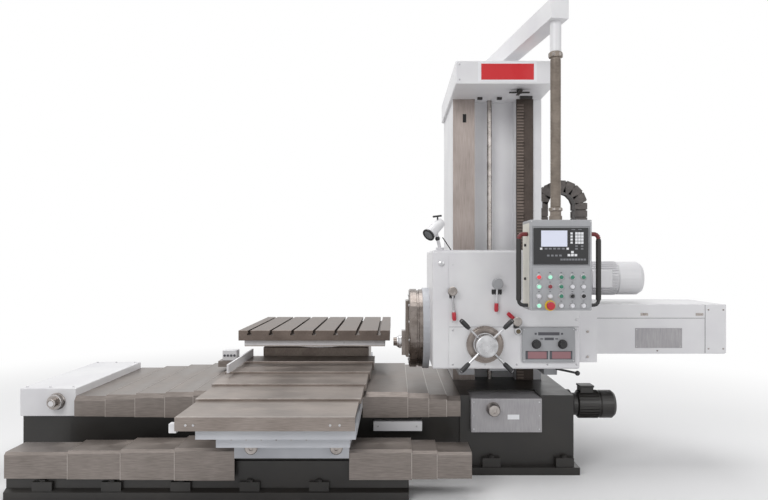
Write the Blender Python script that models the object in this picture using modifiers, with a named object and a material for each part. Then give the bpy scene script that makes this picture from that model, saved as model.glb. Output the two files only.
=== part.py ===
"""Table-type horizontal boring mill, built at real size in metres.

X runs along the bed towards the column, Y away from the operator, Z up.
The origin is on the underside of the bed, below the centre of the saddle's
stroke at rest: the table turns about X = 0.
"""

import math

import bmesh
import bpy
from mathutils import Matrix, Vector

# Clearances
SEAT = 0.0003
SHEET = 0.004
LIP = 0.008

# Main bed
BED_LEFT = -2.058
BED_HALF = 0.58
BED_TOP = 0.42
FOOT_HALF = 0.66
FOOT_HEIGHT = 0.055
RAIL_TOP = 0.50
RAIL_INNER = 0.36
RAIL_OUTER = 0.52
END_BOX_LENGTH = 0.409
END_BOX_TOP = 0.624
END_BOX_FRONT = -0.625
END_BOX_BACK = 0.60
END_KNOB_X = -1.786
END_KNOB_Z = 0.53
LUG_PITCH = 0.45
LUG_WIDTH = 0.13
LUG_HEIGHT = 0.12
TRIP_RAIL_X = (0.528, 0.879)
TRIP_RAIL_Z = (0.32, 0.387)
TRIP_RAIL_PROUD = 0.07

# Column base, at the right end of the bed
BASE_LEFT = 1.16
BASE_RIGHT = 1.995
BASE_FRONT = -0.60
BASE_BACK = 1.02
BASE_TOP = 0.568
PANEL_X = (1.235, 1.75)
PANEL_Z = (0.31, 0.556)
PANEL_FRONT = -0.66
PANEL_BACK = -0.40
PANEL_KNOB = (1.395, 0.481)
FEED_MOTOR_R = 0.106
FEED_MOTOR_Y = -0.36
FEED_MOTOR_Z = 0.4526
FEED_MOTOR_END = 2.364

# Column
COLUMN_X = (1.164, 1.90)
COLUMN_FRONT = 0.025
COLUMN_BACK = 0.965
COLUMN_TOP = 2.894
LEFT_WAY_WIDTH = 0.182
RIGHT_WAY_WIDTH = 0.217
RECESS_DEPTH = 0.12
STRIP_THICK = 0.0127
RACK_X = (1.69, 1.83)
RACK_PITCH = 0.12
SCREW_X = 1.475
SCREW_Y = 0.075
SCREW_R = 0.02
CAP_FRONT = -0.462
CAP_HEIGHT = 0.175

# Front auxiliary bed
AUX_Y = -1.015
AUX_RIGHT = 0.773
AUX_HALF = 0.115
AUX_FOOT_HALF = 0.15
AUX_RAIL_HALF = 0.095
AUX_BODY_TOP = 0.25
AUX_TOP = 0.285

# Telescopic covers of the main bed: the open edge of each one, from the fixed end
LEFT_LIPS = (-1.6487, -1.42, -1.20, -0.98, -0.772)
RIGHT_LIPS = (1.1597, 1.06, 0.93, 0.778)
LEFT_LENGTH = 0.25
RIGHT_LENGTH = 0.38
MAIN_HALF = 0.65
MAIN_TOP = 0.568
MAIN_SKIRT = 0.425
MAIN_STEP = 0.012
COVER_CHAMFER = 0.03

# Telescopic covers of the front auxiliary bed
AUX_LEFT_LIPS = (-1.861, -1.445, -1.097, -0.743)
AUX_RIGHT_LIPS = (1.183, 0.958, 0.793)
AUX_LEFT_LENGTH = 0.44
AUX_RIGHT_LENGTH = 0.56
AUX_COVER_HALF = 0.132
AUX_COVER_TOP = 0.309
AUX_SKIRT = 0.14
AUX_CHAMFER = 0.018

# Saddle
SADDLE_X = (-0.50, 0.45)
SADDLE_HALF_LENGTH = 1.53
SADDLE_TOP = 0.58
CROSS_RAIL_TOP = 0.615
CROSS_RAIL_HALF = 0.30
CROSS_RAIL_WIDTH = 0.12
APRON_X = (-0.393, 0.411)
APRON_FRONT = -1.475
APRON_BACK = -0.86
APRON_BOTTOM = 0.4363
SHOE_X = (-0.353, 0.386)
SHOE_FRONT = -1.19
SHOE_KNOBS = (-0.233, 0.309)

# Cross covers, between the front of the saddle and the table
FASCIA_AHEAD = 0.035
PLATE_STARTS = (0, 0.435, 0.865, 1.295, 1.72)
PLATE_LIPS = tuple(start - SADDLE_HALF_LENGTH - FASCIA_AHEAD for start in PLATE_STARTS)
PLATE_LENGTH = 0.455
PLATE_CENTRE = -0.08
PLATE_HALF = 0.528
PLATE_TOP = 0.642
PLATE_STEP = 0.014
PLATE_SKIRT = 0.622
GUARD_X = (-0.60, -0.585)
GUARD_FRONT = -0.42
GUARD_HEIGHT = 0.065
SHELF_WIDTH = 0.16
SHELF_Y = (0.17, 0.45)
SHELF_DEPTH = 0.05
SWITCH_Y = (0.20, 0.30)
SWITCH_HEIGHT = 0.085
FASCIA_DEPTH = 0.08
FASCIA_THICK = 0.012

# Cross slide and rotary table
TABLE_Y = 0.77
SLIDE_HALF = 0.30
SLIDE_TOP = 0.78
ROTARY_R = 0.42
ROTARY_TOP = 0.8232
TABLE_HALF_X = 0.641
TABLE_HALF_Y = 0.645
TABLE_UNDER = 0.8785
TABLE_TOP = 0.964
SLAB_HALF = 0.60
SLOT_COUNT = 7
SLOT_PITCH = 0.183
SLOT_WIDTH = 0.022
SLOT_T_WIDTH = 0.038
SLOT_DEPTH = 0.04
SLOT_T_HEIGHT = 0.016

# Headstock
HEAD_X = (0.948, 1.992)
HEAD_FRONT = -0.775
HEAD_Z = (0.790, 1.627)
SPINDLE_Y = -0.175
SPINDLE_Z = 1.02
RING_R = 0.32
RING_LEFT = 0.8976
DISC_R = 0.31
DISC_LEFT = 0.7936
SLIDE_BLOCK_THICK = 0.026
TOOL_Z = 0.909
TOOL_R = 0.04
TOOL_TIP = 0.671
FRONT_COVER_THICK = 0.01
TAIL_BLOCK_RIGHT = 2.128
TAIL_RIGHT = 3.15
TAIL_Y = (-0.525, 0.10)
TAIL_Z = (0.8615, 1.226)
SPEED_MOTOR_Y = -0.30
SPEED_MOTOR_Z = 1.42
SPEED_MOTOR_R = 0.128
SPEED_MOTOR_END = 2.59
CONTROL_X = (1.578, 1.951)
CONTROL_Z = (0.841, 1.085)
CHAIN_X = (1.94, 2.40)
CHAIN_Y = (0.42, 0.58)
CHAIN_TOP = 2.27
CHAIN_THICK = 0.07
LAMP_BASE = (1.01, -0.65)
STAR_X = 1.317
STAR_Z = 0.967
STAR_REACH = 0.25
FLANGE_R = 0.129
FLANGE_PROUD = 0.028
# Gear levers: x, z, length, and lean in degrees from hanging straight down
LEVERS = {
    "lever_left": (1.086, 1.3425, 0.20, 4),
    "lever_middle": (1.401, 1.396, 0.19, -2),
    "lever_right": (1.539, 1.13, 0.08, -132),
}
CHAIN_FOOT = 1.5
NUT_Z = (1.10, 1.22)
KNOB_X = (1.677, 1.861)

# Pendant
ARM_PIVOT = (1.476, 0.425)
ARM_END = (1.740, -1.095)
ARM_Z = (3.13, 3.26)
ARM_WIDTH = 0.12
PENDANT_X = (1.544, 1.940)
PENDANT_Y = (-1.225, -0.985)
PENDANT_Z = (1.24, 1.82)
TUBE_R = 0.036
SCREEN_SIDE = 0.024
SCREEN_DROP = 0.052
SCREEN_HEIGHT = 0.234
SCREEN_LEDGE = 0.01
SCREEN_SINK = 0.006
KEYS_SIDE = 0.016
KEYS_HEIGHT = 0.259
BUTTON_ROWS = 4
BUTTON_COLUMNS = 5
BUTTON_PITCH = (0.071, 0.0605)
LEGEND_ROOM = 0.02
BUTTON_R = 0.012
STOP_R = 0.024
STOP_BUTTON = (3, 1)
HANDLE_R = 0.012
HANDLE_STAND = 0.06
HANDLE_BEND = 0.03
HANDLE_INSET = 0.06
HANDLE_DROP = 0.09
HANDLE_RISE = 0.03

PAINT = {}
parts = bpy.data.collections.new("horizontal_boring_mill")
cutters = bpy.data.collections.new("cutters")


def clear_scene():
    for item in list(bpy.data.objects):
        bpy.data.objects.remove(item, do_unlink=True)
    bpy.context.scene.collection.children.link(parts)
    bpy.context.scene.collection.children.link(cutters)


def finish(name, colour, roughness, metallic):
    """A Principled material with one colour, roughness and metallic value."""
    made = bpy.data.materials.new(name)
    made.use_nodes = True
    shader = made.node_tree.nodes["Principled BSDF"]
    shader.inputs["Base Color"].default_value = (*colour, 1)
    shader.inputs["Roughness"].default_value = roughness
    shader.inputs["Metallic"].default_value = metallic
    PAINT[name] = made


def make_finishes():
    finish("black_paint", (0.02, 0.02, 0.02), 0.5, 0)
    finish("white_paint", (0.75, 0.76, 0.78), 0.45, 0)
    finish("grey_paint", (0.45, 0.46, 0.48), 0.45, 0)
    finish("cover_steel", (0.33, 0.31, 0.30), 0.35, 0.9)
    finish("ground_iron", (0.25, 0.23, 0.22), 0.4, 0.9)
    finish("bright_steel", (0.6, 0.6, 0.6), 0.25, 1)
    finish("black_plastic", (0.02, 0.02, 0.02), 0.4, 0)


def new_object(name, mesh, paint, smooth=False):
    made = bpy.data.objects.new(name, mesh)
    parts.objects.link(made)
    if paint:
        mesh.materials.append(PAINT[paint])
    if smooth:
        mesh.shade_smooth()
        mesh.set_sharp_from_angle(angle=math.radians(35))
    return made


def mesh_from(bm, name):
    mesh = bpy.data.meshes.new(name)
    bm.to_mesh(mesh)
    bm.free()
    return mesh


def add_box(bm, low, high):
    """One box in a bmesh, from its lowest to its highest corner."""
    size = [high[i] - low[i] for i in range(3)]
    middle = [(high[i] + low[i]) / 2 for i in range(3)]
    placed = Matrix.Translation(middle) @ Matrix.Diagonal((*size, 1))
    bmesh.ops.create_cube(bm, size=1, matrix=placed)


def boxes(name, corners, paint=None):
    """Boxes in one object: corners is a list of (low, high)."""
    bm = bmesh.new()
    for low, high in corners:
        add_box(bm, low, high)
    return new_object(name, mesh_from(bm, name), paint)


def box(name, x, y, z, paint=None, bevel=0):
    made = boxes(name, [((x[0], y[0], z[0]), (x[1], y[1], z[1]))], paint)
    if bevel:
        edge = made.modifiers.new("edges", "BEVEL")
        edge.width = bevel
        edge.segments = 2
    return made


def towards(start, end):
    """The matrix that carries +Z from the origin onto the line start to end."""
    line = Vector(end) - Vector(start)
    turn = line.to_track_quat("Z", "Y").to_matrix().to_4x4()
    return Matrix.Translation(start) @ turn, line.length


def rod(name, start, end, radius, paint=None, sides=16, end_radius=None):
    """A round bar or a cone from one point to another."""
    placed, length = towards(start, end)
    bm = bmesh.new()
    top = radius if end_radius is None else end_radius
    bmesh.ops.create_cone(
        bm, cap_ends=True, segments=sides, radius1=radius, radius2=top, depth=length,
        matrix=placed @ Matrix.Translation((0, 0, length / 2)))
    return new_object(name, mesh_from(bm, name), paint, smooth=True)


def turned(name, profile, start, end, paint=None, steps=32):
    """A turned piece: profile lists (radius, distance from start), from the start on."""
    placed, _ = towards(start, end)
    mesh = bpy.data.meshes.new(name)
    points = [(radius, 0, along) for radius, along in reversed(profile)]
    mesh.from_pydata(points, [(i, i + 1) for i in range(len(points) - 1)], [])
    made = new_object(name, mesh, paint)
    made.matrix_world = placed
    spin = made.modifiers.new("turned", "SCREW")
    spin.steps = steps
    spin.render_steps = steps
    spin.use_merge_vertices = True
    spin.merge_threshold = 0.0001
    return made


def prism(name, outline, low, high, axis, paint=None):
    """A flat outline carried from low to high along X, Y or Z.

    The outline is in (y, z) for X, (x, z) for Y and (x, y) for Z.
    """
    curve = bpy.data.curves.new(name, "CURVE")
    curve.dimensions = "2D"
    curve.fill_mode = "BOTH"
    curve.extrude = (high - low) / 2
    line = curve.splines.new("POLY")
    line.points.add(len(outline) - 1)
    for point, place in zip(line.points, outline):
        point.co = (place[0], place[1], 0, 1)
    line.use_cyclic_u = True
    flat = bpy.data.objects.new(name + "_outline", curve)
    parts.objects.link(flat)
    bpy.context.view_layer.update()
    mesh = bpy.data.meshes.new_from_object(
        flat.evaluated_get(bpy.context.evaluated_depsgraph_get()))
    bpy.data.objects.remove(flat, do_unlink=True)
    turn = {"X": Matrix(((0, 0, 1, 0), (1, 0, 0, 0), (0, 1, 0, 0), (0, 0, 0, 1))),
            "Y": Matrix(((1, 0, 0, 0), (0, 0, -1, 0), (0, 1, 0, 0), (0, 0, 0, 1))),
            "Z": Matrix.Identity(4)}[axis]
    middle = (low + high) / 2
    along = {"X": (middle, 0, 0), "Y": (0, middle, 0), "Z": (0, 0, middle)}[axis]
    bm = bmesh.new()
    bm.from_mesh(mesh)
    bmesh.ops.remove_doubles(bm, verts=bm.verts, dist=0.00001)
    bm.transform(Matrix.Translation(along) @ turn)
    bmesh.ops.recalc_face_normals(bm, faces=bm.faces)
    bm.to_mesh(mesh)
    bm.free()
    mesh.materials.clear()
    mesh.name = name
    return new_object(name, mesh, paint)


def boolean(target, tool, operation):
    parts.objects.unlink(tool)
    cutters.objects.link(tool)
    tool.hide_render = True
    tool.display_type = "WIRE"
    step = target.modifiers.new(tool.name, "BOOLEAN")
    step.operation = operation
    step.object = tool
    return target


def join(target, *tools):
    for tool in tools:
        boolean(target, tool, "UNION")
    return target


def cut(target, *tools):
    for tool in tools:
        boolean(target, tool, "DIFFERENCE")
    return target


def mirrored(half):
    """A whole outline from its right half, listed from the bottom up."""
    return half + [(-across, up) for across, up in reversed(half)]


def shifted(outline, across=0):
    return [(place[0] + across, place[1]) for place in outline]


def channel(half, top, bottom, wall, chamfer):
    """The outline of an inverted channel of sheet, with chamfered top edges."""
    outer = [(half, bottom), (half, top - chamfer), (half - chamfer, top)]
    slant = wall * math.tan(math.radians(22.5))
    inner = [(half - wall, bottom), (half - wall, top - chamfer - slant),
             (half - chamfer - slant, top - wall)]
    back = [(-across, up) for across, up in inner] + list(reversed(inner))
    return outer + [(-across, up) for across, up in reversed(outer)] + back


def flat_channel(half, top, bottom, wall):
    """The outline of an inverted channel of sheet with square corners."""
    return [(half, bottom), (half, top), (-half, top), (-half, bottom),
            (-half + wall, bottom), (-half + wall, top - wall),
            (half - wall, top - wall), (half - wall, bottom)]


def make_main_bed():
    half = [(FOOT_HALF, 0), (FOOT_HALF, FOOT_HEIGHT), (BED_HALF + 0.02, FOOT_HEIGHT + 0.015),
            (BED_HALF, FOOT_HEIGHT + 0.04), (BED_HALF, BED_TOP)]
    bed = prism("main_bed", mirrored(half), BED_LEFT, BASE_LEFT - SEAT, "X", "black_paint")
    rail_left = BED_LEFT + END_BOX_LENGTH + SHEET
    rails = boxes("bed_rails", [
        ((rail_left, side * RAIL_OUTER if side < 0 else RAIL_INNER, BED_TOP - 0.02),
         (BASE_LEFT - SEAT, side * RAIL_INNER if side < 0 else RAIL_OUTER, RAIL_TOP))
        for side in (-1, 1)])
    count = int((BASE_LEFT - BED_LEFT) / LUG_PITCH)
    lugs = []
    for side in (-1, 1):
        near, far = sorted((side * (BED_HALF - 0.02), side * (FOOT_HALF - 0.01)))
        for i in range(count):
            left = BED_LEFT + (i + 0.4) * LUG_PITCH
            lugs.append(((left, near, FOOT_HEIGHT - 0.02), (left + LUG_WIDTH, far, LUG_HEIGHT)))
    trip = box("trip_rail", TRIP_RAIL_X, (-BED_HALF - TRIP_RAIL_PROUD, -BED_HALF + 0.02),
               TRIP_RAIL_Z)
    join(bed, rails, boxes("bed_lugs", lugs), trip)

    left = BED_LEFT
    right = BED_LEFT + END_BOX_LENGTH
    end = box("bed_end_box", (left, right), (END_BOX_FRONT, END_BOX_BACK),
              (BED_TOP + SEAT, END_BOX_TOP), "white_paint", 0.006)
    knob_front = END_BOX_FRONT - 0.05
    knob = rod("end_box_boss", (END_KNOB_X, END_BOX_FRONT + 0.02, END_KNOB_Z),
               (END_KNOB_X, knob_front, END_KNOB_Z), 0.055, sides=24)
    nose = rod("end_box_nose", (END_KNOB_X, knob_front + 0.01, END_KNOB_Z),
               (END_KNOB_X, knob_front - 0.04, END_KNOB_Z), 0.03, sides=24)
    join(end, knob, nose)


def make_column_base():
    flange = 0.03
    base = boxes("column_base", [((BASE_LEFT, BASE_FRONT, 0), (BASE_RIGHT, BASE_BACK, BASE_TOP))],
                 "black_paint")
    foot = boxes("base_foot", [((BASE_LEFT, BASE_FRONT - 0.06, 0),
                                (BASE_RIGHT + flange, BASE_BACK + flange, FOOT_HEIGHT))])
    lug_left = (BASE_LEFT + 0.16, BASE_RIGHT - 0.14)
    lugs = boxes("base_lugs", [
        ((left, BASE_FRONT - 0.05, FOOT_HEIGHT - 0.02),
         (left + LUG_WIDTH, BASE_FRONT + 0.02, LUG_HEIGHT)) for left in lug_left])
    notch = box("panel_notch", (PANEL_X[0] - SEAT, PANEL_X[1] + SEAT),
                (BASE_FRONT - 0.2, PANEL_BACK + SEAT), (PANEL_Z[0] - SEAT, BASE_TOP + 0.1))
    join(base, foot, lugs)
    cut(base, notch)

    panel = box("base_panel", PANEL_X, (PANEL_FRONT, PANEL_BACK), PANEL_Z, "cover_steel", 0.005)
    knob_x, knob_z = PANEL_KNOB
    join(panel, rod("panel_boss", (knob_x, PANEL_FRONT + 0.02, knob_z),
                    (knob_x, PANEL_FRONT - 0.06, knob_z), 0.043, sides=24))

    flange_x = BASE_RIGHT + SEAT
    turned("feed_motor", [(0, 0), (FEED_MOTOR_R * 1.05, 0), (FEED_MOTOR_R * 1.05, 0.03),
                          (FEED_MOTOR_R * 0.8, 0.05), (FEED_MOTOR_R * 0.8, 0.08),
                          (FEED_MOTOR_R * 0.93, 0.09), (FEED_MOTOR_R * 0.93, 0.25),
                          (FEED_MOTOR_R, 0.26), (FEED_MOTOR_R, FEED_MOTOR_END - flange_x - 0.02),
                          (FEED_MOTOR_R * 0.85, FEED_MOTOR_END - flange_x),
                          (0, FEED_MOTOR_END - flange_x)],
           (flange_x, FEED_MOTOR_Y, FEED_MOTOR_Z), (FEED_MOTOR_END, FEED_MOTOR_Y, FEED_MOTOR_Z),
           "black_paint")


def make_column():
    left, right = COLUMN_X
    recess = COLUMN_FRONT + RECESS_DEPTH
    foot = BASE_TOP + SEAT
    strip_back = COLUMN_FRONT - SEAT
    strip_front = COLUMN_FRONT - STRIP_THICK
    plan = [(left, COLUMN_BACK), (left, strip_front), (left + LEFT_WAY_WIDTH, strip_front),
            (left + LEFT_WAY_WIDTH, recess), (right - RIGHT_WAY_WIDTH, recess),
            (right - RIGHT_WAY_WIDTH, COLUMN_FRONT), (right, COLUMN_FRONT), (right, COLUMN_BACK)]
    prism("column", plan, foot, COLUMN_TOP - SEAT, "Z", "white_paint")

    rack = box("rack", RACK_X, (strip_front, strip_back), (foot, COLUMN_TOP - SEAT), "ground_iron")
    count = int((COLUMN_TOP - foot) / RACK_PITCH) - 1
    middle = (RACK_X[0] + RACK_X[1]) / 2
    teeth = boxes("rack_gaps", [
        ((middle - 0.045, strip_front - 0.02, foot + (i + 1) * RACK_PITCH),
         (middle - 0.005, strip_front + 0.008, foot + (i + 1.5) * RACK_PITCH))
        for i in range(count)])
    cut(rack, teeth)
    rod("lead_screw", (SCREW_X, SCREW_Y, foot), (SCREW_X, SCREW_Y, COLUMN_TOP - SEAT), SCREW_R,
        "bright_steel")
    box("column_cap", (left - 0.022, right), (CAP_FRONT, COLUMN_BACK + 0.02),
        (COLUMN_TOP, COLUMN_TOP + CAP_HEIGHT), "white_paint", 0.006)


def make_front_bed():
    half = [(AUX_FOOT_HALF, 0), (AUX_FOOT_HALF, FOOT_HEIGHT), (AUX_HALF, FOOT_HEIGHT + 0.02),
            (AUX_HALF, AUX_BODY_TOP)]
    left = AUX_LEFT_LIPS[0] + SHEET + SEAT
    bed = prism("front_bed", shifted(mirrored(half), AUX_Y), left, AUX_RIGHT, "X", "black_paint")
    rail = box("aux_rail", (left, AUX_RIGHT_LIPS[0] - SHEET - SEAT),
               (AUX_Y - AUX_RAIL_HALF, AUX_Y + AUX_RAIL_HALF), (AUX_BODY_TOP - 0.08, AUX_TOP))
    count = int((AUX_RIGHT - left) / LUG_PITCH)
    lugs = boxes("aux_lugs", [
        ((left + (i + 0.4) * LUG_PITCH, AUX_Y - AUX_FOOT_HALF + 0.01, FOOT_HEIGHT - 0.02),
         (left + (i + 0.4) * LUG_PITCH + LUG_WIDTH, AUX_Y - AUX_HALF + 0.02, LUG_HEIGHT))
        for i in range(count)])
    join(bed, rail, lugs)


def telescopic(name, section, index, lip, length, open_side):
    """One segment of a telescopic cover along X.

    section(grow, wall) gives its outline, grown by grow. open_side is -1 or 1:
    the side of its lip, which wipes the next smaller segment.
    """
    far = lip - open_side * length
    low, high = sorted((lip, far))
    shell = prism(name, section(index, SHEET), low, high, "X", "cover_steel")
    if index:
        wall = MAIN_STEP - SEAT
        low, high = sorted((lip, lip - open_side * LIP))
        join(shell, prism(name + "_wiper", section(index, wall), low, high, "X"))
    return shell


def main_section(index, wall):
    grow = index * MAIN_STEP
    return channel(MAIN_HALF + grow, MAIN_TOP + grow, MAIN_SKIRT, wall, COVER_CHAMFER)


def aux_section(index, wall):
    grow = index * MAIN_STEP
    outline = channel(AUX_COVER_HALF + grow, AUX_COVER_TOP + grow, AUX_SKIRT, wall, AUX_CHAMFER)
    return shifted(outline, AUX_Y)


def make_bed_covers():
    last = len(LEFT_LIPS) - 1
    for i, lip in enumerate(LEFT_LIPS):
        length = SADDLE_X[0] - SEAT - lip if i == last else LEFT_LENGTH
        telescopic(f"bed_cover_left_{i}", main_section, i, lip, length, -1)
    last = len(RIGHT_LIPS) - 1
    for i, lip in enumerate(RIGHT_LIPS):
        length = lip - SADDLE_X[1] - SEAT if i == last else RIGHT_LENGTH
        telescopic(f"bed_cover_right_{i}", main_section, i, lip, length, 1)

    last = len(AUX_LEFT_LIPS) - 1
    for i, lip in enumerate(AUX_LEFT_LIPS):
        length = SHOE_X[0] - SEAT - lip if i == last else AUX_LEFT_LENGTH
        telescopic(f"front_cover_left_{i}", aux_section, i, lip, length, -1)
    last = len(AUX_RIGHT_LIPS) - 1
    for i, lip in enumerate(AUX_RIGHT_LIPS):
        length = lip - SHOE_X[1] - SEAT if i == last else AUX_RIGHT_LENGTH
        telescopic(f"front_cover_right_{i}", aux_section, i, lip, length, 1)
    close_cover_end("front_cover_left_0", AUX_LEFT_LIPS[0], 1)
    close_cover_end("front_cover_right_0", AUX_RIGHT_LIPS[0], -1)


def close_cover_end(name, lip, inward):
    """The end plate of a fixed cover, which is screwed to the rail's end."""
    half = AUX_COVER_HALF - SHEET / 2
    low, high = sorted((lip, lip + inward * SHEET))
    plate = box(name + "_end", (low, high), (AUX_Y - half, AUX_Y + half),
                (AUX_SKIRT + 0.01, AUX_COVER_TOP - AUX_CHAMFER))
    join(bpy.data.objects[name], plate)


def make_saddle():
    ways = []
    for side in (-1, 1):
        middle = (SADDLE_X[0] + SADDLE_X[1]) / 2 + side * CROSS_RAIL_HALF
        ways.append(((middle - CROSS_RAIL_WIDTH / 2, -SADDLE_HALF_LENGTH + 0.02, SADDLE_TOP - 0.02),
                     (middle + CROSS_RAIL_WIDTH / 2, SADDLE_HALF_LENGTH - 0.02, CROSS_RAIL_TOP)))
    saddle = box("saddle", SADDLE_X, (-SADDLE_HALF_LENGTH, SADDLE_HALF_LENGTH),
                 (RAIL_TOP + SEAT, SADDLE_TOP), "grey_paint")
    join(saddle, boxes("cross_ways", ways))

    apron = box("saddle_apron", APRON_X, (APRON_FRONT, APRON_BACK),
                (APRON_BOTTOM, RAIL_TOP), "grey_paint")
    shoe = box("saddle_shoe", SHOE_X, (SHOE_FRONT, APRON_BACK - 0.01),
               (AUX_TOP + SEAT, APRON_BOTTOM + 0.02))
    knobs = [rod(f"shoe_knob_{i}", (x, SHOE_FRONT + 0.02, 0.365), (x, SHOE_FRONT - 0.035, 0.365),
                 0.035, sides=20) for i, x in enumerate(SHOE_KNOBS)]
    join(apron, shoe, *knobs)


def make_cross_covers():
    last = len(PLATE_LIPS) - 1
    slide_front = TABLE_Y - SLIDE_HALF
    for i, lip in enumerate(PLATE_LIPS):
        grow = i * PLATE_STEP
        end = slide_front - SEAT if i == last else lip + PLATE_LENGTH
        skirt = PLATE_SKIRT
        outline = shifted(flat_channel(PLATE_HALF + grow, PLATE_TOP + grow, skirt, SHEET),
                          PLATE_CENTRE)
        plate = prism(f"cross_cover_{i}", outline, lip, end, "Y", "cover_steel")
        if i:
            wiper = shifted(flat_channel(PLATE_HALF + grow, PLATE_TOP + grow, skirt,
                                         PLATE_STEP - SEAT), PLATE_CENTRE)
            join(plate, prism(f"cross_wiper_{i}", wiper, lip, lip + LIP, "Y"))
    fascia = box("fascia", (PLATE_CENTRE - PLATE_HALF, PLATE_CENTRE + PLATE_HALF),
                 (PLATE_LIPS[0] - FASCIA_THICK, PLATE_LIPS[0] + 0.002),
                 (PLATE_TOP - FASCIA_DEPTH, PLATE_TOP))
    web = box("fascia_web", (SADDLE_X[0] + 0.02, SADDLE_X[1] - 0.02),
              (PLATE_LIPS[0] - 0.001, -SADDLE_HALF_LENGTH - SEAT),
              (PLATE_TOP - FASCIA_DEPTH + 0.01, PLATE_TOP - 0.002))
    join(bpy.data.objects["cross_cover_0"], fascia, web)


def make_cross_slide():
    slide = (TABLE_Y - SLIDE_HALF, TABLE_Y + SLIDE_HALF)
    box("cross_slide", SADDLE_X, slide, (CROSS_RAIL_TOP + SEAT, SLIDE_TOP), "ground_iron", 0.01)
    turned("rotary_base", [(0, 0), (ROTARY_R * 0.8, 0), (ROTARY_R * 0.8, 0.012),
                           (ROTARY_R, 0.014), (ROTARY_R, ROTARY_TOP - SLIDE_TOP - SEAT),
                           (0, ROTARY_TOP - SLIDE_TOP - SEAT)],
           (0, TABLE_Y, SLIDE_TOP + SEAT), (0, TABLE_Y, ROTARY_TOP), "bright_steel", 40)
    last = len(PLATE_LIPS) - 1
    top = PLATE_TOP + last * PLATE_STEP
    left = PLATE_CENTRE - PLATE_HALF - last * PLATE_STEP
    box("side_guard", GUARD_X, (GUARD_FRONT, slide[0] - 0.01), (top + SEAT, top + GUARD_HEIGHT),
        "white_paint")
    shelf = box("switch_shelf", (left - SHELF_WIDTH, left - SEAT), SHELF_Y,
                (top - SHELF_DEPTH, top), "cover_steel")
    join(shelf, box("switch_box", (left - SHELF_WIDTH + 0.03, left - 0.01), SWITCH_Y,
                    (top - 0.01, top + SWITCH_HEIGHT)))


def make_table():
    table = box("rotary_table", (-TABLE_HALF_X, TABLE_HALF_X),
                (TABLE_Y - TABLE_HALF_Y, TABLE_Y + TABLE_HALF_Y), (TABLE_UNDER, TABLE_TOP),
                "ground_iron", 0.003)
    slots = []
    for i in range(SLOT_COUNT):
        middle = (i - (SLOT_COUNT - 1) / 2) * SLOT_PITCH
        neck = SLOT_WIDTH / 2
        wide = SLOT_T_WIDTH / 2
        floor = TABLE_TOP - SLOT_DEPTH
        tee = [(middle - neck, TABLE_TOP + 0.05), (middle - neck, floor + SLOT_T_HEIGHT),
               (middle - wide, floor + SLOT_T_HEIGHT), (middle - wide, floor),
               (middle + wide, floor), (middle + wide, floor + SLOT_T_HEIGHT),
               (middle + neck, floor + SLOT_T_HEIGHT), (middle + neck, TABLE_TOP + 0.05)]
        slots.append(prism(f"table_slot_{i}", tee, TABLE_Y - TABLE_HALF_Y - 0.1,
                           TABLE_Y + TABLE_HALF_Y + 0.1, "Y"))
    cut(table, *slots)
    box("table_slab", (-SLAB_HALF, SLAB_HALF), (TABLE_Y - SLAB_HALF, TABLE_Y + SLAB_HALF),
        (ROTARY_TOP + SEAT, TABLE_UNDER - SEAT), "white_paint", 0.004)


def make_headstock():
    back = COLUMN_FRONT - STRIP_THICK - SEAT
    head = box("headstock", HEAD_X, (HEAD_FRONT, back), HEAD_Z, "white_paint", 0.012)
    nut = box("lead_nut", (SCREW_X - 0.05, SCREW_X + 0.05), (back - 0.02, SCREW_Y + 0.04), NUT_Z)
    flange = rod("handle_flange", (STAR_X, HEAD_FRONT + 0.02, STAR_Z),
                 (STAR_X, HEAD_FRONT - FLANGE_PROUD, STAR_Z), FLANGE_R, sides=32)
    bore = rod("nut_bore", (SCREW_X, SCREW_Y, NUT_Z[0] - 0.1), (SCREW_X, SCREW_Y, NUT_Z[1] + 0.1),
               SCREW_R + SEAT * 2)
    join(head, nut, flange)
    cut(head, bore)

    cover_back = HEAD_FRONT - SEAT
    cover = box("head_cover", (HEAD_X[0] + 0.117, HEAD_X[1] - 0.01),
                (cover_back - FRONT_COVER_THICK, cover_back), (HEAD_Z[0] + 0.012, HEAD_Z[1] - 0.03),
                "white_paint")
    hole = rod("cover_hole", (STAR_X, HEAD_FRONT - 0.05, STAR_Z),
               (STAR_X, HEAD_FRONT + 0.05, STAR_Z), FLANGE_R + SEAT, sides=32)
    cut(cover, hole)

    panel_back = cover_back - FRONT_COVER_THICK - SEAT
    panel = box("control_panel", CONTROL_X, (panel_back - 0.018, panel_back), CONTROL_Z,
                "grey_paint", 0.004)
    knob_z = (CONTROL_Z[0] + CONTROL_Z[1]) / 2 + 0.007
    knobs = [rod(f"speed_knob_{i}", (x, panel_back - 0.01, knob_z), (x, panel_back - 0.045, knob_z),
                 0.026, sides=20) for i, x in enumerate(KNOB_X)]
    join(panel, *knobs)

    axis = (SPINDLE_Y, SPINDLE_Z)
    length = HEAD_X[0] - SEAT - RING_LEFT
    turned("bearing_ring", [(0, 0), (RING_R * 0.985, 0), (RING_R, 0.006), (RING_R, length),
                            (0, length)],
           (RING_LEFT, *axis), (HEAD_X[0], *axis), "grey_paint", 48)


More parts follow.
